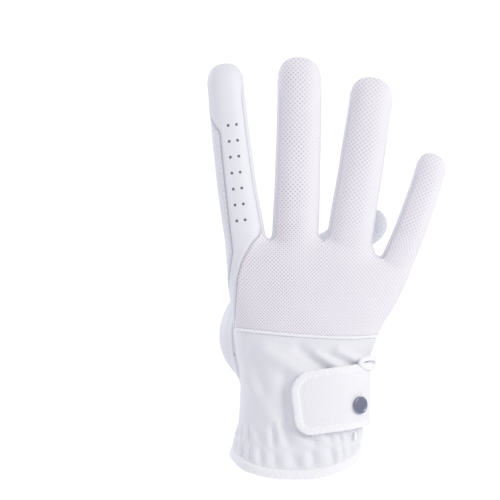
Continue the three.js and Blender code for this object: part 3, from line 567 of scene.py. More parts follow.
def thumb_field(points):
    """About the distance outside the thumb's surface."""
    aside, deep, _, half, beyond = thumb_place(points)
    ring = squared_radius(aside / half, deep / (half * THUMB_DEPTH_SHARE), FINGER_SQUARENESS)
    return (np.sqrt(ring**2 + beyond**2) - 1) * half * TUBE_SCALE


def hand_and_fingers_field(x, y, z):
    """About the distance outside the glove without its thumb."""
    fingers = finger_field(FINGERS[0], x, y, z)
    for finger in FINGERS[1:]:
        fingers = smooth_least(fingers, finger_field(finger, x, y, z), FINGER_BLEND)
    return smooth_least(hand_field(x, y, z), fingers, HAND_BLEND)


def glove_field(points):
    """The field whose zero level is the glove's outer surface."""
    rest = hand_and_fingers_field(points[:, 0], points[:, 1], points[:, 2])
    near = near_thumb(points)
    if near.any():
        rest[near] = smooth_least(rest[near], thumb_field(points[near]), THUMB_BLEND)
    return rest


def near_thumb(points):
    """Which points lie in the room in which the thumb counts."""
    low, high = thumb_box()
    return ((points > low) & (points < high)).all(1)


def field_gradient(field, points, step=0.15 * MM):
    """How fast a field grows along x, y and z."""
    return np.stack(
        [field(points + d) - field(points - d) for d in np.eye(3) * step],
        axis=1,
    ) / (2 * step)


def settle(points, rounds=2):
    """Points moved on to the glove's surface."""
    for _ in range(rounds):
        gradient = field_gradient(glove_field, points)
        value = glove_field(points)
        points = points - gradient * (value / np.maximum((gradient**2).sum(1), 0.05))[:, None]
    return points


# Triangle meshes in numpy


def skin_mesh():
    """The whole outer surface as points and triangles of even size."""
    axes = [np.arange(a, b, VOXEL) for a, b in zip(SKIN_LOW, SKIN_HIGH)]
    x, y, z = axes
    field = hand_and_fingers_field(x[:, None, None], y[None, :, None], z[None, None, :])
    grid_points = np.meshgrid(x, y, z, indexing="ij")
    box = [(axis > low) & (axis < high) for axis, low, high in zip(axes, *thumb_box())]
    part = np.ix_(*[np.flatnonzero(inside) for inside in box])
    around = np.stack([values[part] for values in grid_points], axis=-1)
    thumb = thumb_field(around.reshape(-1, 3)).reshape(around.shape[:3])
    field[part] = smooth_least(field[part], thumb, THUMB_BLEND)
    grid = openvdb.FloatGrid(background=float(field.max()))
    grid.copyFromArray(field.astype(np.float32))
    points, quads = grid.convertToQuads(0.0)
    points = points.astype(float) * VOXEL + SKIN_LOW
    quads = quads.astype(int)
    one_way = np.linalg.norm(points[quads[:, 0]] - points[quads[:, 2]], axis=1)
    other_way = np.linalg.norm(points[quads[:, 1]] - points[quads[:, 3]], axis=1)
    shorter = (one_way < other_way)[:, None]
    first = np.where(shorter, quads[:, [0, 1, 2]], quads[:, [0, 1, 3]])
    second = np.where(shorter, quads[:, [0, 2, 3]], quads[:, [1, 2, 3]])
    triangles = np.concatenate([first, second])
    a, b, c = (points[triangles[:, i]] for i in range(3))
    if (np.cross(a, b) * c).sum() < 0:
        triangles = triangles[:, ::-1]
    points = settle(points)
    return relaxed(points, triangles, RELAX_ROUNDS)


def relaxed(points, triangles, rounds):
    """Points spread evenly along the surface."""
    edges = np.unique(np.sort(triangle_edges(triangles), axis=1), axis=0)
    count = np.bincount(edges.ravel(), minlength=len(points))[:, None]
    for _ in range(rounds):
        total = np.zeros_like(points)
        for axis in range(3):
            total[:, axis] = np.bincount(edges[:, 0], points[edges[:, 1], axis], len(points))
            total[:, axis] += np.bincount(edges[:, 1], points[edges[:, 0], axis], len(points))
        normals = point_normals(points, triangles)
        move = total / np.maximum(count, 1) - points
        move -= normals * (move * normals).sum(1, keepdims=True)
        points = points + 0.5 * move
    return settle(points, 1), triangles


def triangle_edges(triangles):
    """The edges of all triangles: every first one, then every second and every third."""
    return np.concatenate([triangles[:, [0, 1]], triangles[:, [1, 2]], triangles[:, [2, 0]]])


def split_quads(quads):
    return np.concatenate([quads[:, [0, 1, 2]], quads[:, [0, 2, 3]]])


def point_normals(points, triangles):
    a, b, c = (points[triangles[:, i]] for i in range(3))
    face = np.cross(b - a, c - a)
    normals = np.zeros_like(points)
    for axis in range(3):
        for corner in range(3):
            normals[:, axis] += np.bincount(triangles[:, corner], face[:, axis], len(points))
    return unit(normals)


def cut_edges(points, triangles, where):
    """Cuts triangles at points on their edges.

    where gives, for edges from a to b, which are cut and how far along. Returns the points, the triangles,
    the cut edges' ends and shares, and the triangle that each new one came from.
    """
    ends = np.stack([triangles, np.roll(triangles, -1, axis=1)], axis=2).reshape(-1, 2)
    low, high = ends.min(1), ends.max(1)
    _, index, inverse = np.unique(low * len(points) + high, return_index=True, return_inverse=True)
    a, b = low[index], high[index]
    crossing, t = where(a, b)
    parents = (a[crossing], b[crossing], t[crossing])
    new_points = mix(points[parents[0]], points[parents[1]], parents[2][:, None])
    new_id = np.full(len(a), -1)
    new_id[crossing] = len(points) + np.arange(crossing.sum())
    cut = new_id[inverse].reshape(-1, 3)
    count = (cut >= 0).sum(1)
    made, sources = [triangles[count == 0]], [np.flatnonzero(count == 0)]
    for corner in range(3):
        turn = [corner, (corner + 1) % 3, (corner + 2) % 3]
        one = np.flatnonzero((count == 1) & (cut[:, corner] >= 0))
        p, q, r = triangles[one][:, turn].T
        m = cut[one, corner]
        made += [np.stack([p, m, r], 1), np.stack([m, q, r], 1)]
        two = np.flatnonzero((count == 2) & (cut[:, corner] < 0))
        p, q, r = triangles[two][:, turn].T
        m = cut[two, (corner + 1) % 3]
        n = cut[two, (corner + 2) % 3]
        made += [np.stack([r, n, m], 1), np.stack([p, q, m], 1), np.stack([p, m, n], 1)]
        sources += [one, one, two, two, two]
    three = np.flatnonzero(count == 3)
    (p, q, r), (m, n, o) = triangles[three].T, cut[three].T
    made += [np.stack(corners, 1) for corners in ((p, m, o), (m, q, n), (o, n, r), (m, n, o))]
    sources += [three] * 4
    return np.concatenate([points, new_points]), np.concatenate(made), parents, np.concatenate(sources)


def cut_along(points, triangles, values):
    """Cuts triangles where values change sign, so that none lies on both sides."""

    def where(a, b):
        crossing = values[a] * values[b] < 0
        return crossing, values[a] / np.where(crossing, values[a] - values[b], 1)

    return cut_edges(points, triangles, where)


def refined(points, triangles, chosen):
    """Halves every edge of the chosen triangles."""
    code = np.sort(np.stack([triangles, np.roll(triangles, -1, axis=1)], axis=2), axis=2)
    marked = np.unique((code[..., 0] * len(points) + code[..., 1])[chosen])

    def where(a, b):
        return np.isin(a * len(points) + b, marked), np.full(len(a), 0.5)

    made, made_triangles, _, _ = cut_edges(points, triangles, where)
    made[len(points) :] = settle(made[len(points) :], 1)
    return made, made_triangles


def cut_at_border(points, triangles, border):
    """Cuts the skin along a border's zero line, after moving points that are nearly there on to it."""
    nearly, furthest_move, touching = 0.6 * VOXEL, 0.33 * VOXEL, 0.06 * MM
    values = border(points)
    near = np.abs(values) < nearly
    if near.any():
        here = points[near]
        normals = unit(field_gradient(glove_field, here))
        gradient = field_gradient(border, here)
        gradient -= normals * (gradient * normals).sum(1, keepdims=True)
        move = -gradient * (values[near] / np.maximum((gradient**2).sum(1), 0.2))[:, None]
        small = np.linalg.norm(move, axis=1) < furthest_move
        here[small] = settle(here[small] + move[small], 1)
        points = points.copy()
        points[near] = here
        values[near] = border(here)
    values[np.abs(values) < touching] = 0
    points, triangles, parents, _ = cut_along(points, triangles, values)
    first_new = len(points) - len(parents[0])
    points[first_new:] = settle(points[first_new:], 1)
    return points, triangles


# Seams as fields over the skin: above 0 inside a panel


def side_depth(p, palm=False):
    """From the fingers' middle layer to the seam on the back or the palm. It is small towards the tips."""
    s = sizes()
    total, weights = np.zeros(len(p)), np.zeros(len(p))
    for finger, strip in zip(FINGERS, SIDE_STRIPS):
        share, aside = finger_place(finger, p[:, 0], p[:, 2])
        half, _ = finger_half_width(finger, share)
        on_right = smooth_step(-half / 2, half / 2, aside)
        end = mix(strip["left_end"], strip["right_end"], on_right) * MM
        from_end = (1 - share) * finger["length"] * s.palm_length - end
        depth = strip["palm"] if palm else mix(strip["back_left"], strip["back_right"], on_right)
        outside = np.clip(np.abs(aside) - half, -20 * MM, 60 * MM)
        weight = np.exp(-outside / (1.5 * MM))
        total += weight * depth * mix(STRIP_NARROWEST, 1, smooth_step(*STRIP_NARROWS, from_end))
        weights += weight
    return s.side_strip_width / 2 * total / weights


def from_tips(p):
    """From the nearest fingertip, measured along its finger."""
    s = sizes()
    nearest, result = np.full(len(p), np.inf), np.zeros(len(p))
    for finger in FINGERS:
        share, aside = finger_place(finger, p[:, 0], p[:, 2])
        closer = np.abs(aside) < nearest
        nearest[closer] = np.abs(aside)[closer]
        result[closer] = ((1 - share) * finger["length"] * s.palm_length)[closer]
    return result


def back_side(p):
    """Above 0 on the back of the hand and fingers."""
    to_back = along_table(SIDE_SEAM, "height", "to_back", p[:, 2] / sizes().palm_length)
    return to_back * (finger_layer(p[:, 2]) - side_depth(p)) - p[:, 1]


def punched_holes(p):
    """Above 0 outside the punched holes of the index finger's strip."""
    s = sizes()
    finger = FINGERS[INDEX]
    lean = math.radians(finger["lean"])
    length = finger["length"] * s.palm_length
    away = np.full(len(p), FAR_FROM_HOLES)
    on_back = p[:, 1] < finger_layer(p[:, 2])
    for row in range(HOLE_ROWS):
        x, z = finger_axis(finger, 1 - (HOLES_FROM_TIP + row * HOLE_ROW_PITCH) / length)
        for side in (-0.5, 0.5):
            aside = side * HOLE_COLUMN_PITCH + HOLES_ASIDE - HOLES_DRIFT * row / (HOLE_ROWS - 1)
            from_x = p[:, 0] - x - aside * math.cos(lean)
            from_z = p[:, 2] - z + aside * math.sin(lean)
            away = np.minimum(away, np.hypot(from_x, from_z) - s.hole_diameter / 2)
    return np.where(on_back, away, FAR_FROM_HOLES)


def above_knuckles(p):
    """Above 0 on the fingers' side of the knuckle seam."""
    s = sizes()
    return p[:, 2] - along_table(KNUCKLE_SEAM, "across", "height", p[:, 0] / s.knuckle_width) * s.palm_length


def strip_line():
    """The seam of the index finger's strip as x and z, from its foot up to the fingertips."""
    s = sizes()
    z = np.array([row["height"] for row in STRIP_BORDER]) * s.palm_length
    left, right, _, _ = hand_section(z)
    x = mix(left, right, np.array([row["across"] for row in STRIP_BORDER]))
    shares = np.array([STRIP_ROOT, 2 * STRIP_ROOT, 1.0])
    index_x, index_z = finger_axis(FINGERS[INDEX], shares)
    middle_x, middle_z = finger_axis(FINGERS[MIDDLE], shares)
    between_x, between_z = (index_x + middle_x) / 2, (index_z + middle_z) / 2
    higher = between_z > z[-1]
    return np.concatenate([x, between_x[higher]]), np.concatenate([z, between_z[higher]])


def beside_strip(p):
    """Above 0 on the middle finger's side of the strip's seam."""
    x, z = strip_line()
    return p[:, 0] - np.interp(p[:, 2], z, x)


def thumb_side_of_skin(p):
    """Above 0 on the thumb."""
    value = np.full(len(p), -0.02)
    near = near_thumb(p)
    here = p[near]
    value[near] = hand_and_fingers_field(here[:, 0], here[:, 1], here[:, 2]) - thumb_field(here)
    return value * 0.7


def thumb_depth(p):
    """Above 0 on the thumb's inner side, which faces the hand."""
    value = np.full(len(p), -0.02)
    near = near_thumb(p)
    centre = thumb_path()[0]
    layer = np.interp(p[near, 2], centre[:, 2], centre[:, 1])
    value[near] = layer - p[near, 1]
    return value


def between_fingers(left, right):
    """Above 0 in the strip between two fingers, seen from the front."""

    def field(p):
        s = sizes()
        tops, sides = [], []
        for finger in (FINGERS[left], FINGERS[right]):
            top_share = 1 - STRIP_TOP / (finger["length"] * s.palm_length)
            tops.append(np.array(finger_axis(finger, top_share)))
            sides.append(finger_axis(finger, STRIP_ROOT)[0])
        bottom = STRIP_BOTTOM * s.palm_length
        corners = [np.array([sides[0], bottom]), np.array([sides[1], bottom]), tops[1], tops[0]]
        inside = np.full(len(p), np.inf)
        for a, b in zip(corners, corners[1:] + corners[:1]):
            along = (b - a) / np.linalg.norm(b - a)
            inside = np.minimum(inside, along[0] * (p[:, 2] - a[1]) - along[1] * (p[:, 0] - a[0]))
        return inside

    return field


def fourchette(left, right):
    """Above 0 on the strip sewn in between two fingers."""

    def field(p):
        palm_edge = finger_layer(p[:, 2]) + side_depth(p, palm=True)
        return np.minimum.reduce(
            [between_fingers(left, right)(p), -back_side(p), palm_edge - p[:, 1], -thumb_side_of_skin(p)]
        )

    return field


def gusset(p):
    """Above 0 on the smooth gusset beside the slit."""
    return np.minimum.reduce([GUSSET_DEPTH - p[:, 1], GUSSET_TOP - p[:, 2], p[:, 0], -back_side(p)])


def cuff(p):
    """Above 0 on the glove's side of the wrist's edge and of the slit in the cuff."""
    above_hem = p[:, 2] - hem_height(hand_angle(p)) - HEM_COVER * sizes().hem_band
    half = SLIT_HALF_WIDTH + SLIT_COVER
    corner_y, corner_z = half + SLIT_CORNER, SLIT_FOOT + SLIT_CORNER
    y, z = np.abs(p[:, 1]), p[:, 2]
    beside = np.where(z > corner_z, y - half, SLIT_CORNER - np.hypot(y - corner_y, z - corner_z))
    beside = np.where(y > corner_y, FOREVER, beside)
    beside = np.maximum(beside, z - SLIT_TOP)
    beside = np.where(p[:, 0] > 0, beside, FOREVER)
    return np.minimum(above_hem, beside)


def thumb_base_end(p):
    """Above 0 past the seam between the thumb's smooth base and its pad."""
    return p[:, 0] - THUMB_BASE_ACROSS * sizes().knuckle_width


PANELS = {
    "thumb_base_panel": lambda p: np.minimum.reduce(
        [thumb_side_of_skin(p), thumb_depth(p), -thumb_base_end(p)]
    ),
    "thumb_pad_panel": lambda p: np.minimum.reduce(
        [thumb_side_of_skin(p), thumb_depth(p), thumb_base_end(p)]
    ),
    "thumb_back_panel": lambda p: np.minimum(thumb_side_of_skin(p), -thumb_depth(p)),
    "wrist_back_panel": lambda p: np.minimum(back_side(p), -above_knuckles(p)),
    "index_side_panel": lambda p: np.minimum.reduce([back_side(p), above_knuckles(p), -beside_strip(p)]),
    "back_mesh_panel": lambda p: np.minimum.reduce([back_side(p), above_knuckles(p), beside_strip(p)]),
    "fourchette_index_middle": fourchette(INDEX, MIDDLE),
    "fourchette_middle_ring": fourchette(MIDDLE, RING),
    "fourchette_ring_little": fourchette(RING, LITTLE),
    "ulnar_gusset": gusset,
}
PALM = "palm_panel"


# Relief of the cloth: gathers, folds and slight unevenness


def gather_relief(p):
    """How far the two rows of slanted puffs lift points of the cuff."""
    s = sizes()
    angle = hand_angle(p)
    bottom = hem_height(angle) + s.hem_band
    share = (p[:, 2] - bottom) / (GATHER_TOP - bottom)
    drawn_line = 0.52 + 0.04 * np.sin(5 * angle + 1)
    uneven_top = 1.12 + 0.1 * np.sin(9 * angle)
    row = np.where(share < drawn_line, 0, 1)
    within = np.where(row == 0, share / drawn_line, (share - drawn_line) / (uneven_top - drawn_line))
    wobble = 0.5 * np.sin(3 * angle + 2.1 * row) + 0.5 * np.sin(8 * angle + 2 * row)
    wobble = wobble + 0.25 * np.sin(13 * angle)
    slant = mix(2.6, 4.0, row)
    phase = s.gather_count * angle + wobble + math.pi * row + slant * (within - 0.5)
    wave = (0.5 + 0.5 * np.cos(phase)) ** 0.7
    uneven = 0.9 + 0.15 * np.sin(5 * angle + 1.3 + 2 * row) + 0.12 * np.sin(11 * angle + 4 * row)
    calm = mix(0.6, 1, smooth_step(-26 * MM, -6 * MM, np.where(p[:, 1] < 0, p[:, 0], 0)))
    swell = np.sin(math.pi * np.clip(within, 0, 1)) ** 0.8
    return s.gather_rise * (1.5 * wave * uneven - 0.75) * swell * calm


def fold_relief(p):
    """How far the folds lift points on the back of the wrist."""
    s = sizes()
    total = np.zeros(len(p))
    scale = np.array([s.wrist_width, s.palm_length])
    at = p[:, [0, 2]]
    for fold in WRIST_FOLDS:
        start, end = np.array(fold["start"]) * scale, np.array(fold["end"]) * scale
        along = end - start
        share = np.clip(((at - start) @ along) / (along @ along), 0, 1)
        away = np.linalg.norm(at - start - share[:, None] * along, axis=1)
        total += fold["rise"] * s.fold_rise * np.exp(-((away / (fold["spread"] * s.wrist_width)) ** 2))
    return np.where(p[:, 1] < 0, total, 0) * smooth_step(-2 * MM, -8 * MM, p[:, 1])


def noise_at(points, size):
    """Smooth noise whose lumps have about a size."""
    return np.array([noise.noise(Vector(q) / size) for q in points])


def soft_relief(p):
    """Slight unevenness of cloth and leather that lie over a hand, and small creases in the wrist's cloth."""
    wide = noise_at(p, 22 * MM)
    x, y, z = p.T
    slanted = np.stack([x * 0.7 + z * 0.5, y, z * 0.9 - x * 0.4], axis=1)
    crease = noise_at(slanted, 6 * MM)
    wrist = smooth_step(64 * MM, 50 * MM, z)
    return 0.35 * MM * wide + 0.16 * MM * crease * mix(0.35, 1, wrist)


# Cloth coordinates: metres across and along the cloth, so that patterns keep their real size


def arc_share(share, aspect, squareness):
    """Length along a squared ellipse from its ridge to a share of its half width, in half widths."""
    steps = np.linspace(0, 1, 13)
    start = np.arccos(np.clip(np.abs(share), 0, 1) ** (squareness / 2))
    angle = start[:, None] + (math.pi / 2 - start[:, None]) * steps
    cos, sin = oval(np.clip(angle, 1e-6, math.pi / 2 - 1e-6), squareness)
    length = np.hypot(np.diff(cos, axis=1), np.diff(sin, axis=1) * aspect[:, None]).sum(1)
    return np.sign(share) * length


def pulled_length(steps, pull):
    """Cloth length up to each of some even steps, where the cloth is pulled longer by pull."""
    return np.cumsum(1 / pull) * (steps[1] - steps[0])


def nearest_finger(points):
    """The number of the finger that each point lies on or is closest to."""
    x, y, z = points.T
    return np.stack([finger_field(finger, x, y, z) for finger in FINGERS], axis=1).argmin(1)


def cloth_coordinates(points, stretch=1.0):
    """Across and along the cloth for points of the skin.

    stretch: how far the cloth is pulled open on the fingers. Half of that pull is left at the knuckles.
    """
    s = sizes()
    x, y, z = points.T
    on_hand = np.minimum(z, WIDEST * s.palm_length)
    left, right, back, palm = hand_section(on_hand)
    middle, half = (left + right) / 2, (right - left) / 2
    share = np.clip((x - middle) / half, -1, 1)
    round_hand = hand_angle(np.stack([x, y, on_hand], axis=1))
    on_side = smooth_step(0.8, 0.5, np.abs(np.sin(round_hand))) * smooth_step(104 * MM, 92 * MM, z)
    arc_at = mix(share, oval(round_hand, HAND_SQUARENESS)[0], on_side)
    hand_u = x + half * (arc_share(arc_at, (palm - back) / 2 / half, HAND_SQUARENESS) - share)
    heights = np.linspace(-20 * MM, 220 * MM, 241)
    at_knuckles = mix(1, stretch, 0.5)
    hand_pull = mix(1, at_knuckles, smooth_step(60 * MM, 112 * MM, heights))
    hand_lengths = pulled_length(heights, hand_pull)
    hand_v = np.interp(z, heights, hand_lengths)
    hand_u = hand_u / np.interp(z, heights, hand_pull)
    nearest = nearest_finger(points)
    u, v = hand_u.copy(), hand_v.copy()
    for i, finger in enumerate(FINGERS):
        mine = nearest == i
        along_share, aside = finger_place(finger, x[mine], z[mine])
        half_here, _ = finger_half_width(finger, along_share)
        along = along_share * finger["length"] * s.palm_length
        root_x, root_z = finger["root_x"] * s.knuckle_width, finger["root_z"] * s.palm_length
        aspect = np.full(mine.sum(), FINGER_DEPTH_SHARE)
        arc = half_here * arc_share(np.clip(aside / half_here, -1, 1), aspect, FINGER_SQUARENESS)
        crotch = finger["crotch"] * MM
        free = crotch - root_z
        steps = np.linspace(-40 * MM, 130 * MM, 171)
        pull = mix(at_knuckles, stretch, smooth_step(free, free + 24 * MM, steps))
        lengths = pulled_length(steps, pull)
        pulled_along = np.interp(along, steps, lengths) - np.interp(free, steps, lengths)
        crotch_u = (root_x + math.tan(math.radians(finger["lean"])) * free) / at_knuckles
        crotch_v = np.interp(crotch, heights, hand_lengths)
        rise = smooth_step(crotch - 6 * MM, crotch + 8 * MM, z[mine])
        u[mine] = mix(hand_u[mine], crotch_u + arc / np.interp(along, steps, pull), rise)
        v[mine] = mix(hand_v[mine], crotch_v + pulled_along, rise)
    near = near_thumb(points)
    on_thumb = np.zeros(len(points), bool)
    on_thumb[near] = thumb_side_of_skin(points[near]) > 0
    if on_thumb.any():
        aside, _, along, half_thumb, past = thumb_place(points[on_thumb])
        aspect = np.full(on_thumb.sum(), THUMB_DEPTH_SHARE)
        u[on_thumb] = half_thumb * arc_share(np.clip(aside / half_thumb, -1, 1), aspect, FINGER_SQUARENESS)
        v[on_thumb] = along + past * half_thumb * TIP_ROUNDING
    return np.stack([u, v], axis=1)


def openness_and_painted_light(points):
    """How strong the mesh's dots are. They are strongest over the middle of the fingers, where the mesh is
    pulled most open, and weakest towards the little finger's side, which is painted light: the light falls
    there and washes them out.
    """
    x, _, z = points.T
    nearest = nearest_finger(points)
    fingers = np.zeros(len(points))
    for i, finger in enumerate(FINGERS):
        mine = nearest == i
        share, aside = finger_place(finger, x[mine], z[mine])
        half, _ = finger_half_width(finger, share)
        # Painted light: the dots fade towards each finger's little finger side, where the light falls
        towards_little = mix(1.0, 0.3, smooth_step(0.0, 0.8, aside / half))
        towards_thumb = mix(0.6, 1, smooth_step(-1, -0.5, aside / half))
        fingers[mine] = finger["open"] * towards_little * towards_thumb
    # Painted light: over the back of the hand the dots fade towards the little finger's side, where the light
    # falls
    hand = mix(0.95, 0.55, smooth_step(-15 * MM, 45 * MM, x))
    value = mix(hand, fingers, smooth_step(104 * MM, 126 * MM, z))
    return value * (1 + 0.35 * noise_at(points, 14 * MM))


# Blender objects


def make_object(
    name, points, faces, uv=None, material=None, slot=None, replaces=(), smooth_angle=50, marks=None
):
    """A mesh object from arrays. faces is one array, or a list of them for triangles and quads together.

    marks holds a value for each point under a name that the material reads, such as how near a seam is.
    """
    faces = faces if isinstance(faces, list) else [faces]
    mesh = bpy.data.meshes.new(name)
    loops = np.concatenate([f.ravel() for f in faces]).astype(np.int32)
    lengths = np.concatenate([np.full(len(f), f.shape[1]) for f in faces]).astype(np.int32)
    starts = np.concatenate([[0], np.cumsum(lengths)[:-1]]).astype(np.int32)
    mesh.vertices.add(len(points))
    mesh.vertices.foreach_set("co", np.ascontiguousarray(points, np.float32).ravel())
    mesh.loops.add(len(loops))
    mesh.loops.foreach_set("vertex_index", loops)
    mesh.polygons.add(len(lengths))
    mesh.polygons.foreach_set("loop_start", starts)
    mesh.update(calc_edges=True)
    if uv is not None:
        layer = mesh.uv_layers.new(name="Cloth")
        layer.data.foreach_set("uv", np.ascontiguousarray(uv[loops], np.float32).ravel())
    for mark, values in (marks or {}).items():
        attribute = mesh.attributes.new(mark, "FLOAT", "POINT")
        attribute.data.foreach_set("value", np.ascontiguousarray(values, np.float32))
    mesh.shade_smooth()
    mesh.set_sharp_from_angle(angle=math.radians(smooth_angle))
    if mesh.validate():
        raise RuntimeError(f"{name} had faces that Blender had to mend")
    piece = bpy.data.objects.new(name, mesh)
    bpy.context.scene.collection.objects.link(piece)
    if material:
        mesh.materials.append(material)
    if slot:
        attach(piece, "root")
    if replaces:
        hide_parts(*replaces)
    return piece


def shell(points, triangles, normals, wall):
    """A closed sheet: the outer triangles, the same turned round on the inner side, and quads along its rim.

    Returns its points and faces, and which of the given points it uses.
    """
    used, local = np.unique(triangles, return_inverse=True)
    outer = local.reshape(-1, 3)
    count = len(used)
    inner = outer[:, ::-1] + count
    edges = triangle_edges(outer)
    code = edges[:, 0] * count + edges[:, 1]
    turned_code = edges[:, 1] * count + edges[:, 0]
    rim = edges[~np.isin(code, turned_code)]
    rims = np.stack([rim[:, 1], rim[:, 0], rim[:, 0] + count, rim[:, 1] + count], axis=1)
    both = np.concatenate([points[used], points[used] - normals[used] * wall])
    return both, [np.concatenate([outer, inner]), rims], used


def laid_sheet(z, angle, grow, wall):
    """A closed sheet laid over the hand, from a grid of heights and angles. grow is to its outer side."""
    rows, columns = z.shape
    outer = hand_point(z, angle, grow).reshape(-1, 3)
    first = (np.arange(rows - 1)[:, None] * columns + np.arange(columns - 1)[None, :]).ravel()
    triangles = split_quads(np.stack([first, first + 1, first + 1 + columns, first + columns], axis=1))
    normals = point_normals(outer, triangles)
    if (normals * hand_normal(z.ravel(), angle.ravel(), 0)).sum() < 0:
        triangles, normals = triangles[:, ::-1], -normals
    return shell(outer, triangles, normals, wall)


def length_along(line):
    """Length of a line up to each of its points."""
    return np.concatenate([[0], np.cumsum(np.linalg.norm(np.diff(line, axis=0), axis=1))])


def sweep(centre, out, profile, closed_path, pile=0.0, pile_spacing=MM):
    """A band swept along a line. profile: points across and outwards, closed. pile: height of its lumps."""
    if closed_path:
        along = unit(np.roll(centre, -1, axis=0) - np.roll(centre, 1, axis=0))
    else:
        along = unit(np.gradient(centre, axis=0))
    side = unit(np.cross(out, along))
    out = np.cross(along, side)
    rows, columns = len(centre), len(profile)
    points = centre[:, None] + side[:, None] * profile[None, :, :1] + out[:, None] * profile[None, :, 1:]
    points = points.reshape(-1, 3)
    i = np.arange(rows if closed_path else rows - 1)[:, None]
    j = np.arange(columns)[None, :]
    a = i * columns + j
    b = i * columns + (j + 1) % columns
    c = ((i + 1) % rows) * columns + (j + 1) % columns
    d = ((i + 1) % rows) * columns + j
    quads = np.stack([a, b, c, d], axis=-1).reshape(-1, 4)
    uv = np.stack(np.meshgrid(length_along(profile), length_along(centre)), axis=-1).reshape(-1, 2)
    normals = point_normals(points, split_quads(quads))
    middle = np.repeat(centre, columns, axis=0)
    if ((points - middle) * normals).sum() < 0:
        quads, normals = quads[:, ::-1], -normals
    if pile:
        points = points + normals * (noise_at(points, pile_spacing) * pile)[:, None]
    faces = [quads]
    if not closed_path:
        for ring, outwards in ((0, -along[0]), (rows - 1, along[-1])):
            p = ring * columns + np.arange(columns)
            q = ring * columns + (np.arange(columns) + 1) % columns
            cap_middle = len(points)
            points = np.concatenate([points, points[p].mean(0, keepdims=True)])
            uv = np.concatenate([uv, uv[p[:1]]])
            cap = np.stack([np.full(columns, cap_middle), p, q], axis=1)
            face = np.cross(points[cap[0, 1]] - points[cap_middle], points[cap[0, 2]] - points[cap_middle])
            faces.append(cap if face @ outwards > 0 else cap[:, ::-1])
    return points, faces, uv


def band_profile(width, thickness, sides=20, squareness=3.2):
    """A rounded flat section, width across and thickness outwards."""
    angle = np.linspace(0, 2 * math.pi, sides, endpoint=False)
    cos, sin = oval(angle, squareness)
    return np.stack([cos * width / 2, sin * thickness / 2], axis=1)


def even_line(points, spacing):
    """The same line with evenly spaced points."""
    length = length_along(points)
    count = max(int(round(length[-1] / spacing)), 4)
    at = np.linspace(0, length[-1], count)
    return np.stack([np.interp(at, length, points[:, i]) for i in range(points.shape[1])], axis=1)


def softened(line, rounds):
    """A line with its corners eased."""
    for _ in range(rounds):
        line = np.concatenate([line[:1], 0.5 * line[1:-1] + 0.25 * (line[:-2] + line[2:]), line[-1:]])
    return line


# Materials. Patterns are measured in metres over the cloth. The fibres, coatings and plating that are named
# here are guessed from how each surface looks in the photo.


def add(tree, kind, inputs=None, **settings):
    """Adds a node with its settings. inputs maps a socket's name or number to a value or another socket."""
    made = tree.nodes.new(kind)
    for key, value in settings.items():
        setattr(made, key, value)
    for key, value in (inputs or {}).items():
        socket = made.inputs[key]
        if isinstance(value, bpy.types.NodeSocket):
            tree.links.new(value, socket)
        else:
            socket.default_value = value
    return made


def surface(name, colour, roughness, sheen=0.0):
    """A new material with one principled shader. Returns the material, its tree and the shader."""
    material = bpy.data.materials.new(name)
    material.use_nodes = True
    tree = material.node_tree
    shader = tree.nodes["Principled BSDF"]
    shader.inputs["Base Color"].default_value = (*colour, 1)
    shader.inputs["Roughness"].default_value = roughness
    shader.inputs["Sheen Weight"].default_value = sheen
    shader.inputs["Sheen Roughness"].default_value = 0.5
    material.diffuse_color = (*colour, 1)
    return material, tree, shader


def blended(tree, factor, first, second):
    """A colour between two, each a socket or a colour, by a factor's socket."""
    ends = [end if isinstance(end, bpy.types.NodeSocket) else (*end, 1) for end in (first, second)]
    inputs = {"Factor": factor, "A": ends[0], "B": ends[1]}
    return add(tree, "ShaderNodeMix", inputs, data_type="RGBA").outputs["Result"]


def with_painted_seam_shade(tree, shader, colour):
    """Gives the shader its colour, a socket or a colour, with painted shade along the seams, where edges turn
    in and shade falls.
    """
    crease = add(tree, "ShaderNodeAttribute", attribute_name="crease")
    # Painted shade: the colour goes at most 0.42 of the way to the painted seam shade
    amount = add(tree, "ShaderNodeMath", {0: crease.outputs["Fac"], 1: 0.42}, operation="MULTIPLY")
    shaded = blended(tree, amount.outputs[0], colour, colours().painted_seam_shade)
    tree.links.new(shaded, shader.inputs["Base Color"])


def grained(tree, shader, size, strength, depth, detail=3.0):
    """Raises grain or pile of about a size all over the surface."""
    place = add(tree, "ShaderNodeTexCoord").outputs["Object"]
    grain = add(tree, "ShaderNodeTexNoise", {"Vector": place, "Scale": 1 / size, "Detail": detail})
    bump = add(tree, "ShaderNodeBump", {"Height": grain.outputs[0], "Strength": strength, "Distance": depth})
    tree.links.new(bump.outputs[0], shader.inputs["Normal"])


def cloth_waves(tree, ways, shape, joined_by):
    """Waves over the cloth, one along each way, joined into one height. ways: radians for each metre."""
    cloth = add(tree, "ShaderNodeUVMap", uv_map="Cloth").outputs["UV"]
    total = None
    for way in ways:
        phase = add(tree, "ShaderNodeVectorMath", {0: cloth, 1: (*way, 0)}, operation="DOT_PRODUCT")
        wave = add(tree, "ShaderNodeMath", {0: phase.outputs["Value"]}, operation=shape).outputs[0]
        if total is not None:
            wave = add(tree, "ShaderNodeMath", {0: total, 1: wave}, operation=joined_by).outputs[0]
        total = wave
    return total


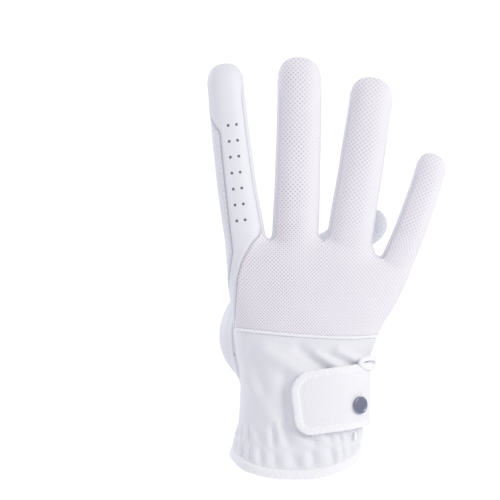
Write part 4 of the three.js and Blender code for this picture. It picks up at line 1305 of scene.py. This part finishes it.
def spacer_mesh():
    """Polyester spacer mesh, warp knitted with small round openings in staggered rows.

    The eye sees matt white cloth with faint mauve dots, where the shaded layer behind shows through. The dots
    are painted shade for that layer.
    """
    material, tree, shader = surface("spacer_mesh_polyester", colours().mesh, 0.85, 0.08)
    pitch = 1.14 * MM  # where the knit lies unstretched
    cloth = add(tree, "ShaderNodeUVMap", uv_map="Cloth")
    placing = {"Vector": cloth.outputs["UV"], "Rotation": (0, 0, math.radians(45)), "Scale": (1 / pitch,) * 3}
    turned = add(tree, "ShaderNodeMapping", placing)
    spacing = {"Vector": turned.outputs[0], "Scale": 1.0, "Randomness": 0.06}
    cells = add(tree, "ShaderNodeTexVoronoi", spacing, voronoi_dimensions="2D").outputs["Distance"]
    edge = {"Value": cells, "From Min": 0.1, "From Max": 0.42, "To Min": 1.0, "To Max": 0.0}
    opening = add(tree, "ShaderNodeMapRange", edge, interpolation_type="SMOOTHSTEP").outputs[0]
    # Painted light: this mark weakens the openings' painted shade on the lit side, as well as where the mesh
    # lies closer
    openness_and_painted_light_here = add(tree, "ShaderNodeAttribute", attribute_name="openness_and_painted_light").outputs["Fac"]
    seen = add(tree, "ShaderNodeMath", {0: opening, 1: openness_and_painted_light_here}, operation="MULTIPLY").outputs[0]
    # Painted shade: the openings are coloured mauve, as strongly as the openness mark allows
    with_painted_seam_shade(tree, shader, blended(tree, seen, colours().mesh, colours().mesh_openings_painted_shade))
    bump = add(tree, "ShaderNodeBump", {"Height": cells, "Strength": 0.35, "Distance": 0.3 * MM})
    tree.links.new(bump.outputs[0], shader.inputs["Normal"])
    return material


def lining_in_painted_shade():
    """Thin polyester tricot lining, in a darker mauve-grey that is painted shade. The eye sees it only in the
    punched holes, as their shade.
    """
    return surface("lining_in_painted_shade", colours().lining, 0.9)[0]


def smooth_leather():
    """Coated synthetic leather with a fine pore grain, which gives a smooth satin white."""
    material, tree, shader = surface("synthetic_leather_smooth", colours().leather, 0.5)
    with_painted_seam_shade(tree, shader, colours().leather)
    grained(tree, shader, 0.9 * MM, 0.25, 0.08 * MM)
    return material


def embossed_leather():
    """Coated synthetic leather, embossed for grip with small six-sided cells.

    The eye sees rows of low satin cushions with faintly grey grooves between them. The grey is painted shade
    in the grooves.
    """
    material, tree, shader = surface("synthetic_leather_embossed", colours().leather, 0.5)
    cell, squash = 2.6 * MM, 0.9
    turn = 2 * math.pi * 2 / math.sqrt(3) / cell
    angles = [math.radians(degrees) for degrees in (0, 60, 120)]
    ways = [(turn * math.cos(angle), turn * math.sin(angle) * squash) for angle in angles]
    edge = {"Value": cloth_waves(tree, ways, "COSINE", "ADD"), "From Min": -1.4, "From Max": 0.2}
    cells = add(tree, "ShaderNodeMapRange", edge, interpolation_type="SMOOTHSTEP").outputs[0]
    # Painted shade: the grooves between the cells take the darker groove colour
    with_painted_seam_shade(tree, shader, blended(tree, cells, colours().leather_groove_painted_shade, colours().leather))
    bump = add(tree, "ShaderNodeBump", {"Height": cells, "Strength": 0.55, "Distance": 0.25 * MM})
    tree.links.new(bump.outputs[0], shader.inputs["Normal"])
    return material


def stretch_cloth():
    """Elastane and polyester cloth in a waffle knit, which gives a matt white with a faint even check."""
    material, tree, shader = surface("stretch_cloth_waffle_knit", colours().stretch_cloth, 0.8, 0.08)
    with_painted_seam_shade(tree, shader, colours().stretch_cloth)
    turn = 2 * math.pi / (1.9 * MM)  # the check's size is guessed, coarse enough to show
    height = cloth_waves(tree, [(turn, turn * 0.95), (-turn, turn * 0.95)], "SINE", "MULTIPLY")
    bump = add(tree, "ShaderNodeBump", {"Height": height, "Strength": 0.4, "Distance": 0.12 * MM})
    tree.links.new(bump.outputs[0], shader.inputs["Normal"])
    return material


def ribbed_cloth():
    """Rib-knitted stretch cloth of the strap, which gives a bright matt white with fine upright lines."""
    material, tree, shader = surface("stretch_cloth_fine_rib", colours().strap, 0.8, 0.08)
    turn = 2 * math.pi / (1.2 * MM)  # the ribs' spacing is guessed, coarse enough to show
    height = cloth_waves(tree, [(turn, 0)], "SINE", "ADD")
    bump = add(tree, "ShaderNodeBump", {"Height": height, "Strength": 0.22, "Distance": 0.12 * MM})
    tree.links.new(bump.outputs[0], shader.inputs["Normal"])
    return material


def terry_binding():
    """Looped elastic binding, woven with an uneven pile, which gives a soft edge of the brightest white."""
    material, tree, shader = surface("looped_elastic_binding", colours().binding, 0.95, 0.12)
    grained(tree, shader, 0.8 * MM, 0.6, 0.3 * MM)
    return material


def hook_and_loop():
    """Nylon loop tape with a close pile, which gives a dull, woolly white."""
    material, tree, shader = surface("loop_tape", colours().loop_tape, 0.95, 0.5)
    place = add(tree, "ShaderNodeTexCoord").outputs["Object"]
    pile = add(tree, "ShaderNodeTexVoronoi", {"Vector": place, "Scale": 1 / (0.7 * MM)}).outputs["Distance"]
    bump = add(tree, "ShaderNodeBump", {"Height": pile, "Strength": 0.8, "Distance": 0.4 * MM})
    tree.links.new(bump.outputs[0], shader.inputs["Normal"])
    return material


def gunmetal():
    """Turned brass with a gunmetal plating, which gives a dark satin grey with soft highlights."""
    material, tree, shader = surface("gunmetal_plated_brass", colours().rivet, 0.35)
    shader.inputs["Metallic"].default_value = 1.0
    grained(tree, shader, 0.6 * MM, 0.15, 0.05 * MM, 4.0)
    return material


def matt_white_paint():
    """Matt white wall paint on the studio floor, lit a little from itself so that it stays pale."""
    material, _, shader = surface("matt_white_paint", linear("#FBFBFD"), 0.9)
    shader.inputs["Emission Color"].default_value = (1, 1, 1, 1)
    shader.inputs["Emission Strength"].default_value = 0.3
    return material


MATERIALS = {}


def finish_of(make):
    """The material made by a function, made once."""
    if make.__name__ not in MATERIALS:
        MATERIALS[make.__name__] = make()
    return MATERIALS[make.__name__]


FINISHES = {
    "thumb_base_panel": (smooth_leather, "leather"),
    "thumb_pad_panel": (embossed_leather, "leather"),
    "thumb_back_panel": (spacer_mesh, "mesh"),
    "wrist_back_panel": (stretch_cloth, "stretch_cloth"),
    "index_side_panel": (smooth_leather, "leather"),
    "back_mesh_panel": (spacer_mesh, "mesh"),
    "fourchette_index_middle": (smooth_leather, "leather"),
    "fourchette_middle_ring": (smooth_leather, "leather"),
    "fourchette_ring_little": (smooth_leather, "leather"),
    "ulnar_gusset": (smooth_leather, "leather"),
    "palm_panel": (embossed_leather, "leather"),
}


def bound_edge(name, node, swept):
    """A piece of soft binding from a sweep's points, faces and cloth coordinates."""
    points, faces, uv = swept
    make_object(name, points, faces, uv, finish_of(terry_binding), "binding", (node,))


# Pieces


class GLOVE_OT_panels(Operator):
    """Build the sewn panels: one smooth skin, cut along its seams"""

    bl_idname = "glove.panels"
    bl_label = "Panels"

    def execute(self, context):
        points, triangles = self.cut_skin()
        points, triangles = self.punched(points, triangles)
        points, triangles, labels, from_seam = self.parted(points, triangles)
        firm = seam_firmness(points)
        raised = self.raised(points, firm, from_seam)
        # Painted shade along the seams, kept in the crease mark: the material darkens the colour by it
        crease = firm * np.exp(-((from_seam / PAINTED_SHADE_WIDTH) ** 2))
        cloth = cloth_coordinates(points)
        for number, name in enumerate([*PANELS, PALM]):
            own = triangles[labels == number]
            if not len(own):
                raise RuntimeError(f"{name} came out empty")
            self.panel(name, own, points, raised, cloth, crease)
        return {"FINISHED"}

    def cut_skin(self):
        """The skin with its cuff open, and with edges along all the seams."""
        points, triangles = cut_at_border(*skin_mesh(), cuff)
        triangles = triangles[cuff(points[triangles].mean(1)) > 0]
        for field in PANELS.values():
            points, triangles = cut_at_border(points, triangles, field)
        return points, triangles

    def punched(self, points, triangles):
        """The skin with round holes in it. The lining that closes them from behind is made on the way."""
        for reach in (1.0 * MM, 0.5 * MM):
            around = punched_holes(points) < reach
            points, triangles = refined(points, triangles, around[triangles].any(1))
        values = punched_holes(points)
        values[np.abs(values) < 0.04 * MM] = 0
        points, triangles, _, _ = cut_along(points, triangles, values)
        from_hole = punched_holes(points[triangles].mean(1))
        self.lining(points, triangles[from_hole < LINING_REACH])
        return points, triangles[from_hole > 0]

    def lining(self, points, triangles):
        """The thin lining behind the punched holes. Its darker colour is painted shade inside the holes."""
        clearance, thickness = 0.05 * MM, 0.3 * MM
        normals = unit(field_gradient(glove_field, points))
        sheet = points + normals * (soft_relief(points) - WALL - clearance)[:, None]
        both, faces, used = shell(sheet, triangles, normals, thickness)
        cloth = np.concatenate([cloth_coordinates(points[used])] * 2)
        node = "index_side_panel"
        make_object("index_strip_lining", both, faces, cloth, finish_of(lining_in_painted_shade), "mesh", (node,))

    def parted(self, points, triangles):
        """Which panel each triangle belongs to, and each point's distance from the seams, with finer
        triangles beside them."""
        middles = points[triangles].mean(1)
        inside = np.stack([field(middles) for field in PANELS.values()], axis=1)
        labels = without_crumbs(triangles, np.where(inside.max(1) > 0, inside.argmax(1), len(PANELS)))
        away = seam_distance(points, triangles, labels)
        for level in (0.9 * MM, 0.45 * MM):
            values = away - level
            values[np.abs(values) < 0.1 * MM] = 0
            points, triangles, parents, sources = cut_along(points, triangles, values)
            away = np.concatenate([away, mix(away[parents[0]], away[parents[1]], parents[2])])
            labels = labels[sources]
        return points, triangles, labels, away

    def raised(self, points, firm, from_seam):
        """The skin's points with gathers, folds, drawn-in seams and the holes' pressed edges."""
        relief = gather_relief(points) + fold_relief(points) + soft_relief(points)
        relief -= SEAM_DEPTH * firm * np.exp(-((from_seam / SEAM_WIDTH) ** 2))
        relief += SEAM_PUFF * np.exp(-(((from_seam - PUFF_PLACE) / PUFF_WIDTH) ** 2))
        relief -= 0.12 * MM * np.exp(-((punched_holes(points) / (0.35 * MM)) ** 2))
        return points + unit(field_gradient(glove_field, points)) * relief[:, None]

    def panel(self, name, triangles, points, raised, cloth, crease):
        both, faces, used = shell(raised, triangles, point_normals(raised, triangles), WALL)
        make, slot = FINISHES[name]
        own_cloth = cloth[used]
        # The crease mark carries the painted shade along the seams
        marks = {"crease": crease[used]}
        if make is spacer_mesh:
            own_cloth = cloth_coordinates(points[used], KNIT_STRETCH)
            marks["openness_and_painted_light"] = openness_and_painted_light(points[used])
        marks = {mark: np.concatenate([values] * 2) for mark, values in marks.items()}
        own_cloth = np.concatenate([own_cloth] * 2)
        make_object(name + "_cloth", both, faces, own_cloth, finish_of(make), slot, (name,), marks=marks)


def seam_firmness(points):
    """How deep the seams are drawn in, and how dark their painted shade is: less near the fingertips, and
    least beside the mesh on the fingers.
    """
    on_back = smooth_step(0, -3 * MM, points[:, 1] - finger_layer(points[:, 2]))
    on_fingers = smooth_step(100 * MM, 116 * MM, points[:, 2])
    beside_mesh = smooth_step(1 * MM, 5 * MM, beside_strip(points)) * on_back * on_fingers
    return mix(0.3, 1, smooth_step(9 * MM, 18 * MM, from_tips(points))) * mix(1, 0.4, beside_mesh)


def without_crumbs(triangles, labels):
    """The panels' labels, with stray triangles given to the panel that they lie in."""
    edges = triangle_edges(triangles)
    code = edges.min(1) * (triangles.max() + 1) + edges.max(1)
    order = np.argsort(code, kind="stable")
    code, owner = code[order], np.tile(np.arange(len(triangles)), 3)[order]
    shared = code[1:] == code[:-1]
    one, other = owner[:-1][shared], owner[1:][shared]
    for _ in range(3):
        votes = np.zeros((len(triangles), labels.max() + 1), int)
        np.add.at(votes, (one, labels[other]), 1)
        np.add.at(votes, (other, labels[one]), 1)
        labels = np.where(votes.max(1) >= 2, votes.argmax(1), labels)
    return labels


def seam_distance(points, triangles, labels):
    """Distance of each point from the nearest seam between two panels."""
    edges = triangle_edges(triangles)
    code = edges.min(1) * len(points) + edges.max(1)
    order = np.argsort(code, kind="stable")
    code, owner, edges = code[order], np.tile(labels, 3)[order], edges[order]
    pair = (code[1:] == code[:-1]) & (owner[1:] != owner[:-1])
    seam = edges[1:][pair]
    samples = np.concatenate([mix(points[seam[:, 0]], points[seam[:, 1]], t) for t in (0, 0.25, 0.5, 0.75)])
    tree = kdtree.KDTree(len(samples))
    for i, p in enumerate(samples):
        tree.insert(p, i)
    tree.balance()
    return np.array([tree.find(p)[2] for p in points])


class GLOVE_OT_piping(Operator):
    """Build the piping over the knuckles"""

    bl_idname = "glove.piping"
    bl_label = "Piping"

    def execute(self, context):
        s = sizes()
        radius = s.piping_diameter / 2
        left, right, _, _ = hand_section(KNUCKLE_SEAM[2]["height"] * s.palm_length)
        x = np.linspace(left, right, 200)
        z = along_table(KNUCKLE_SEAM, "across", "height", x / s.knuckle_width) * s.palm_length
        line = even_line(np.stack([back_angle(x, z), z], 1)[3:-3], 0.004)
        centre = hand_point(line[:, 1], line[:, 0], radius * 0.5)
        out = hand_normal(line[:, 1], line[:, 0], 0)
        profile = band_profile(2 * radius, 2 * radius, 12, 2)
        swept = sweep(centre, out, profile, False, 0.08 * MM, 1.5 * MM)
        bound_edge("knuckle_seam_piping_cloth", "knuckle_seam_piping", swept)
        return {"FINISHED"}


def cuff_edge_line():
    """Middle line of the hem's binding as angle and height: up both sides of the slit and round the wrist."""
    s = sizes()
    half_band = s.hem_band * 0.42
    top = SLIT_TOP - 0.5 * MM
    corner_y, corner_z = SLIT_HALF_WIDTH + SLIT_CORNER, SLIT_FOOT + SLIT_CORNER
    z = np.linspace(top, corner_z, 40)
    side = np.stack([np.full_like(z, SLIT_HALF_WIDTH + half_band), z], axis=1)
    turn = np.radians(np.linspace(0, 80, 20))
    inner = SLIT_CORNER - half_band
    corner = np.stack([corner_y - inner * np.cos(turn), corner_z - inner * np.sin(turn)], axis=1)
    rise = np.concatenate([side, corner])
    back = np.stack([palm_angle(-rise[:, 0], rise[:, 1]), rise[:, 1]], axis=1)
    palm = np.stack([palm_angle(rise[:, 0], rise[:, 1]), rise[:, 1]], axis=1)[::-1]
    past_corner = 0.12  # radians round the wrist, where the slit's line meets the hem's
    angle = np.linspace(back[-1, 0] - past_corner, palm[0, 0] + past_corner - 2 * math.pi, 240)
    hem = np.stack([angle, hem_height(angle) + s.hem_band / 2], axis=1)
    palm[:, 0] -= 2 * math.pi
    return np.concatenate([back, hem, palm])


class GLOVE_OT_hem_binding(Operator):
    """Build the soft binding round the wrist opening and up both sides of the slit"""

    bl_idname = "glove.hem_binding"
    bl_label = "Hem binding"

    def execute(self, context):
        line = cuff_edge_line()
        centre = hand_point(line[:, 1], line[:, 0], -WALL / 2)
        dense = softened(even_line(centre, 0.45 * MM), 24)
        out = hand_normal(dense[:, 2], hand_angle(dense), 0)
        profile = band_profile(sizes().hem_band * 1.14, WALL + 1.5 * MM, 28)
        swept = sweep(dense, out, profile, False, 0.24 * MM, 1.2 * MM)
        bound_edge("hem_binding_cloth", "hem_binding", swept)
        return {"FINISHED"}


class GLOVE_OT_bar_tack(Operator):
    """Build the close zigzag of thread at the foot of the slit, under the strap"""

    bl_idname = "glove.bar_tack"
    bl_label = "Bar tack"

    def execute(self, context):
        turns, middle_x, half_width, thread = 13, 31.2, 0.7, 0.42 * MM
        z = np.linspace(16.3, 12.6, turns) * MM
        x = (middle_x + np.where(np.arange(turns) % 2, half_width, -half_width)) * MM
        grow = 1.1 * MM
        line = even_line(np.stack([back_angle(x, z, grow), z], axis=1), 0.003)
        centre = softened(hand_point(line[:, 1], line[:, 0], grow), 1)
        out = hand_normal(line[:, 1], line[:, 0], grow)
        swept = sweep(centre, out, band_profile(thread, thread, 8, 2), False)
        bound_edge("slit_bar_tack", "hem_binding", swept)
        return {"FINISHED"}


# Closure strap, over the back of the wrist and round the little finger's side
STRAP_END_X = -0.6 * MM
STRAP_MIDDLE_Z = 30.6 * MM
STRAP_TILT = math.radians(7)
STRAP_UPPER_CORNER = 11 * MM
STRAP_LOWER_CORNER = 8 * MM
STRAP_INNER = 1.7 * MM
STRAP_OUTER = 3.4 * MM
STRAP_ROOT_DEPTH = 12 * MM  # how far it reaches round towards the palm


def strap_place(along, across):
    """x and z, seen from the front, of places on the strap."""
    x = STRAP_END_X + along * math.cos(STRAP_TILT) - across * math.sin(STRAP_TILT)
    z = STRAP_MIDDLE_Z + along * math.sin(STRAP_TILT) + across * math.cos(STRAP_TILT)
    return x, z


def strap_height(across, angle, grow):
    """Height of a line that runs along the strap at a distance across, where it meets an angle."""
    z = np.full_like(angle, STRAP_MIDDLE_Z) + across
    for _ in range(6):
        x = hand_point(z, angle, grow)[..., 0]
        z = STRAP_MIDDLE_Z + (x - STRAP_END_X) * math.tan(STRAP_TILT) + across / math.cos(STRAP_TILT)
    return z


class GLOVE_OT_strap(Operator):
    """Build the closure strap with its binding, and the loop tape under it"""

    bl_idname = "glove.strap"
    bl_label = "Closure strap"

    def execute(self, context):
        half = sizes().strap_height / 2
        self.band(half)
        self.binding(half)
        self.loop()
        self.patch()
        return {"FINISHED"}

    def band(self, half):
        """The ribbed middle, with a fine drawn-in line beside its binding."""
        tucked = 0.8 * MM  # under the binding
        line_depth, line_place, line_width = 0.16 * MM, 2.0 * MM, 0.4 * MM
        inset = sizes().strap_band - tucked
        rows = np.linspace(-half + inset, half - inset, 84)
        corner = np.where(rows > 0, STRAP_UPPER_CORNER, STRAP_LOWER_CORNER)
        radius = corner - inset
        into_corner = np.maximum(np.abs(rows) - (half - corner), 0)
        start = inset + radius - np.sqrt(np.maximum(radius**2 - into_corner**2, 0))
        start_x, start_z = strap_place(start, rows)
        first = back_angle(start_x, start_z, STRAP_OUTER)
        last = palm_angle(np.full(len(rows), STRAP_ROOT_DEPTH), start_z, STRAP_OUTER)
        angle = mix(first[:, None], last[:, None], np.linspace(0, 1, 200)[None, :])
        across = np.repeat(rows[:, None], angle.shape[1], axis=1)
        z = strap_height(across, angle, STRAP_OUTER)
        face = hand_point(z, angle, STRAP_OUTER)
        run = np.cumsum(np.linalg.norm(np.diff(face, axis=1, prepend=face[:, :1]), axis=2), axis=1)
        from_edge = np.minimum(half - inset - np.abs(across), run)
        line = -line_depth * np.exp(-(((from_edge - line_place) / line_width) ** 2))
        both, faces, used = laid_sheet(z, angle, STRAP_OUTER + line, STRAP_OUTER - STRAP_INNER)
        cloth = np.stack([(run + start[:, None]).ravel(), across.ravel()], axis=1)[used]
        cloth = np.concatenate([cloth] * 2)
        rib, node = finish_of(ribbed_cloth), "closure_strap"
        make_object("closure_strap_cloth", both, faces, cloth, rib, "stretch_cloth", (node,))

    def binding(self, half):
        """The soft binding along both edges and round the free end."""
        s = sizes()
        inset = s.strap_band / 2
        grow = (STRAP_INNER + STRAP_OUTER) / 2
        edges = []
        for across, corner in ((half - inset, STRAP_UPPER_CORNER), (inset - half, STRAP_LOWER_CORNER)):
            x, z = strap_place(corner, across)
            first = float(back_angle(np.array([x]), np.array([z]), grow)[0])
            last = float(palm_angle(np.array([STRAP_ROOT_DEPTH]), np.array([z]), grow)[0])
            angle = np.linspace(last, first, 120)
            edges.append(np.stack([angle, strap_height(np.full_like(angle, across), angle, grow)], axis=1))
        turn = np.radians(np.linspace(90, 0, 24))
        upper, lower = STRAP_UPPER_CORNER - inset, STRAP_LOWER_CORNER - inset
        top_along = STRAP_UPPER_CORNER - upper * np.cos(turn)
        top_across = half - STRAP_UPPER_CORNER + upper * np.sin(turn)
        turn = turn[::-1]
        bottom_along = STRAP_LOWER_CORNER - lower * np.cos(turn)
        bottom_across = STRAP_LOWER_CORNER - half - lower * np.sin(turn)
        along, across = np.concatenate([top_along, bottom_along]), np.concatenate([top_across, bottom_across])
        x, z = strap_place(along, across)
        end = np.stack([back_angle(x, z, grow), z], axis=1)
        line = np.concatenate([edges[0], end, edges[1][::-1]])
        centre = hand_point(line[:, 1], line[:, 0], grow)
        dense = softened(even_line(centre, 0.4 * MM), 10)
        out = hand_normal(dense[:, 2], hand_angle(dense), grow)
        profile = band_profile(s.strap_band, STRAP_OUTER - STRAP_INNER + 1.0 * MM, 26)
        swept = sweep(dense, out, profile, False, 0.24 * MM, 1.2 * MM)
        bound_edge("strap_binding_cloth", "strap_binding", swept)

    def loop(self):
        """The binding's end, turned over in a small loop at the strap's upper corner."""
        turn = np.linspace(0, 2 * math.pi, 80, endpoint=False)
        angle = np.radians(-22 + 20 * np.cos(turn))
        z = 51.0 * MM + 2.5 * MM * np.sin(turn) - 0.8 * MM * np.cos(turn)
        grow = STRAP_OUTER + 0.5 * MM
        centre, out = hand_point(z, angle, grow), hand_normal(z, angle, grow)
        swept = sweep(centre, out, band_profile(2.4 * MM, 2.0 * MM, 18), True, 0.12 * MM, 1.1 * MM)
        bound_edge("strap_binding_loop", "strap_binding", swept)

    def patch(self):
        """The loop tape that the strap's free end closes on."""
        low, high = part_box("closure_patch")
        inset, above_hand, thickness = 1 * MM, 1.2 * MM, 0.9 * MM
        x, z = np.meshgrid(np.linspace(low.x, high.x, 24), np.linspace(low.z + inset, high.z - inset, 30))
        both, faces, _ = laid_sheet(z, back_angle(x, z, 1 * MM), above_hand, thickness)
        tape, node = finish_of(hook_and_loop), "closure_patch"
        make_object("closure_patch_tape", both, faces, both[:, [0, 2]], tape, "hook_and_loop", (node,))


# Turned outline of the rivet. radius: share of the head's radius. height: above the strap, in mm.
RIVET_OUTLINE = table(
    "radius height",
    (0.0, -2.4),
    (0.36, -2.4),
    (0.36, 0.2),
    (0.93, 0.05),
    (0.985, 0.12),
    (1.0, 0.3),
    (1.0, 1.08),
    (0.985, 1.32),
    (0.95, 1.45),
    (0.9, 1.5),
    (0.84, 1.49),
    (0.8, 1.4),
    (0.77, 1.26),
    (0.74, 1.22),
    (0.6, 1.26),
    (0.3, 1.34),
    (0.0, 1.36),
)
RIVET_ALONG = 37.5 * MM  # from the strap's free end
RIVET_DROP = 5 * MM  # below the strap's middle
RIVET_ANGLE = math.radians(322)
RIVET_LIFT = 0.3 * MM


class GLOVE_OT_rivet(Operator):
    """Build the turned rivet through the strap"""

    bl_idname = "glove.rivet"
    bl_label = "Rivet"

    def execute(self, context):
        z = STRAP_MIDDLE_Z + RIVET_ALONG * math.sin(STRAP_TILT) - RIVET_DROP
        step = 0.05
        angles = RIVET_ANGLE + np.array([-step, 0, step])
        before, seat, after = hand_point(np.array(z), angles, STRAP_OUTER)
        tangent = after - before
        out = unit(np.array([tangent[1], -tangent[0], 0.0]))
        radius = np.array([row["radius"] for row in RIVET_OUTLINE]) * sizes().rivet_diameter / 2
        height = np.array([row["height"] for row in RIVET_OUTLINE]) * MM + RIVET_LIFT
        sides = 96
        turn = np.linspace(0, 2 * math.pi, sides, endpoint=False)
        first = unit(np.cross(out, np.array([0.0, 0.0, 1.0])))
        second = np.cross(out, first)
        ring = first[None, :] * np.cos(turn)[:, None] + second[None, :] * np.sin(turn)[:, None]
        points = (seat + out * height[:, None, None] + ring[None] * radius[:, None, None]).reshape(-1, 3)
        i = np.arange(len(RIVET_OUTLINE) - 1)[:, None] * sides
        j, after_j = np.arange(sides)[None, :], (np.arange(sides)[None, :] + 1) % sides
        quads = np.stack([i + j, i + after_j, i + sides + after_j, i + sides + j], axis=-1).reshape(-1, 4)
        points, index = np.unique(np.round(points, 7), axis=0, return_inverse=True)
        quads = index.ravel()[quads]
        at_axis = (quads[:, 0] == quads[:, 1]) | (quads[:, 2] == quads[:, 3])
        tips = quads[at_axis]
        tips = np.where((tips[:, 0] == tips[:, 1])[:, None], tips[:, [1, 2, 3]], tips[:, [0, 1, 2]])
        faces, uv = [quads[~at_axis], tips], points[:, [0, 2]]
        metal, node = finish_of(gunmetal), "strap_rivet"
        make_object("strap_rivet_turned", points, faces, uv, metal, "rivet", (node,), smooth_angle=35)
        return {"FINISHED"}


# Stage: the photo's frame and the studio
PHOTO_PIXELS = 500
PIXEL_SIZE = 0.51 * MM  # on the glove
VIEW_CENTRE_X = -21.9 * MM
VIEW_CENTRE_Z = 108.1 * MM
CAMERA_DISTANCE = 1.1
SENSOR_WIDTH = 36  # mm
FLOOR_Z = -1.3
FLOOR_RADIUS = 1.6


class GLOVE_OT_stage(Operator):
    """Set the floor, backdrop, lights and camera"""

    bl_idname = "glove.stage"
    bl_label = "Stage"

    def execute(self, context):
        self.floor()
        context.scene.world = self.soft_studio()
        self.light("key_panel", (1.2, -0.9, 0.7), 9.0, (1.0, 0.985, 0.88))
        self.light("fill_panel", (-1.3, 0.7, 0.8), 6.0, (0.96, 0.97, 1.0))
        self.camera(context)
        context.scene.view_settings.view_transform = "Standard"
        return {"FINISHED"}

    def floor(self):
        sides = 64
        turn = np.linspace(0, 2 * math.pi, sides, endpoint=False)
        round_floor = [FLOOR_RADIUS * np.cos(turn), FLOOR_RADIUS * np.sin(turn), np.full(sides, FLOOR_Z)]
        points = np.stack(round_floor, axis=1)
        disc = np.arange(sides)[None, :]
        floor = make_object("floor", points, disc, points[:, [0, 1]], matt_white_paint())

    def soft_studio(self):
        """A cool even light from all round, with white paper behind the glove."""
        world = bpy.data.worlds.new("soft_studio")
        world.use_nodes = True
        tree = world.node_tree
        light = tree.nodes["Background"]
        light.inputs["Color"].default_value = (0.94, 0.942, 1.0, 1)
        light.inputs["Strength"].default_value = 0.76
        paper = add(tree, "ShaderNodeBackground", {"Color": (1, 1, 1, 1), "Strength": 1.05})
        seen = add(tree, "ShaderNodeLightPath").outputs["Is Camera Ray"]
        either = add(tree, "ShaderNodeMixShader", {0: seen, 1: light.outputs[0], 2: paper.outputs[0]})
        tree.links.new(either.outputs[0], tree.nodes["World Output"].inputs["Surface"])
        return world

    def light(self, name, place, power, colour):
        """A square soft panel that faces the glove."""
        data = bpy.data.lights.new(name, "AREA")
        data.color = colour
        data.energy = power
        data.size = 0.7
        lamp = bpy.data.objects.new(name, data)
        bpy.context.scene.collection.objects.link(lamp)
        lamp.location = place
        to_glove = Vector((0, 0, 0.1)) - Vector(place)
        lamp.rotation_euler = to_glove.to_track_quat("-Z", "Y").to_euler()

    def camera(self, context):
        """The photo's view: level, square on to the back of the hand, from some way off."""
        data = bpy.data.cameras.new("photo_view")
        camera = bpy.data.objects.new("photo_view", data)
        context.scene.collection.objects.link(camera)
        data.sensor_width = SENSOR_WIDTH
        data.lens = SENSOR_WIDTH * CAMERA_DISTANCE / (PHOTO_PIXELS * PIXEL_SIZE)
        data.clip_start = 0.05
        camera.location = (VIEW_CENTRE_X, -CAMERA_DISTANCE, VIEW_CENTRE_Z)
        camera.rotation_euler = (math.radians(90), 0, 0)
        context.scene.camera = camera


class GLOVE_PT_panel(Panel):
    """Glove sizes, colours and build steps"""

    bl_label = "Riding glove"
    bl_idname = "GLOVE_PT_panel"
    bl_space_type = "VIEW_3D"
    bl_region_type = "UI"
    bl_category = "Glove"

    def draw(self, context):
        column = self.layout.column()
        for group in (context.scene.glove_sizes, context.scene.glove_colours):
            for name in group.__annotations__:
                column.prop(group, name)
        for operator in OPERATORS:
            column.operator(operator.bl_idname)


OPERATORS = (
    GLOVE_OT_panels,
    GLOVE_OT_piping,
    GLOVE_OT_hem_binding,
    GLOVE_OT_bar_tack,
    GLOVE_OT_strap,
    GLOVE_OT_rivet,
    GLOVE_OT_stage,
)
CLASSES = (GloveSizes, GloveColours, *OPERATORS, GLOVE_PT_panel)


def register():
    for cls in CLASSES:
        bpy.utils.register_class(cls)
    bpy.types.Scene.glove_sizes = PointerProperty(type=GloveSizes)
    bpy.types.Scene.glove_colours = PointerProperty(type=GloveColours)


def unregister():
    del bpy.types.Scene.glove_colours
    del bpy.types.Scene.glove_sizes
    for cls in reversed(CLASSES):
        bpy.utils.unregister_class(cls)


def main():
    register()
    bpy.ops.glove.panels()
    bpy.ops.glove.piping()
    bpy.ops.glove.hem_binding()
    bpy.ops.glove.bar_tack()
    bpy.ops.glove.strap()
    bpy.ops.glove.rivet()
    bpy.ops.glove.stage()


if __name__ == "__main__":
    main()
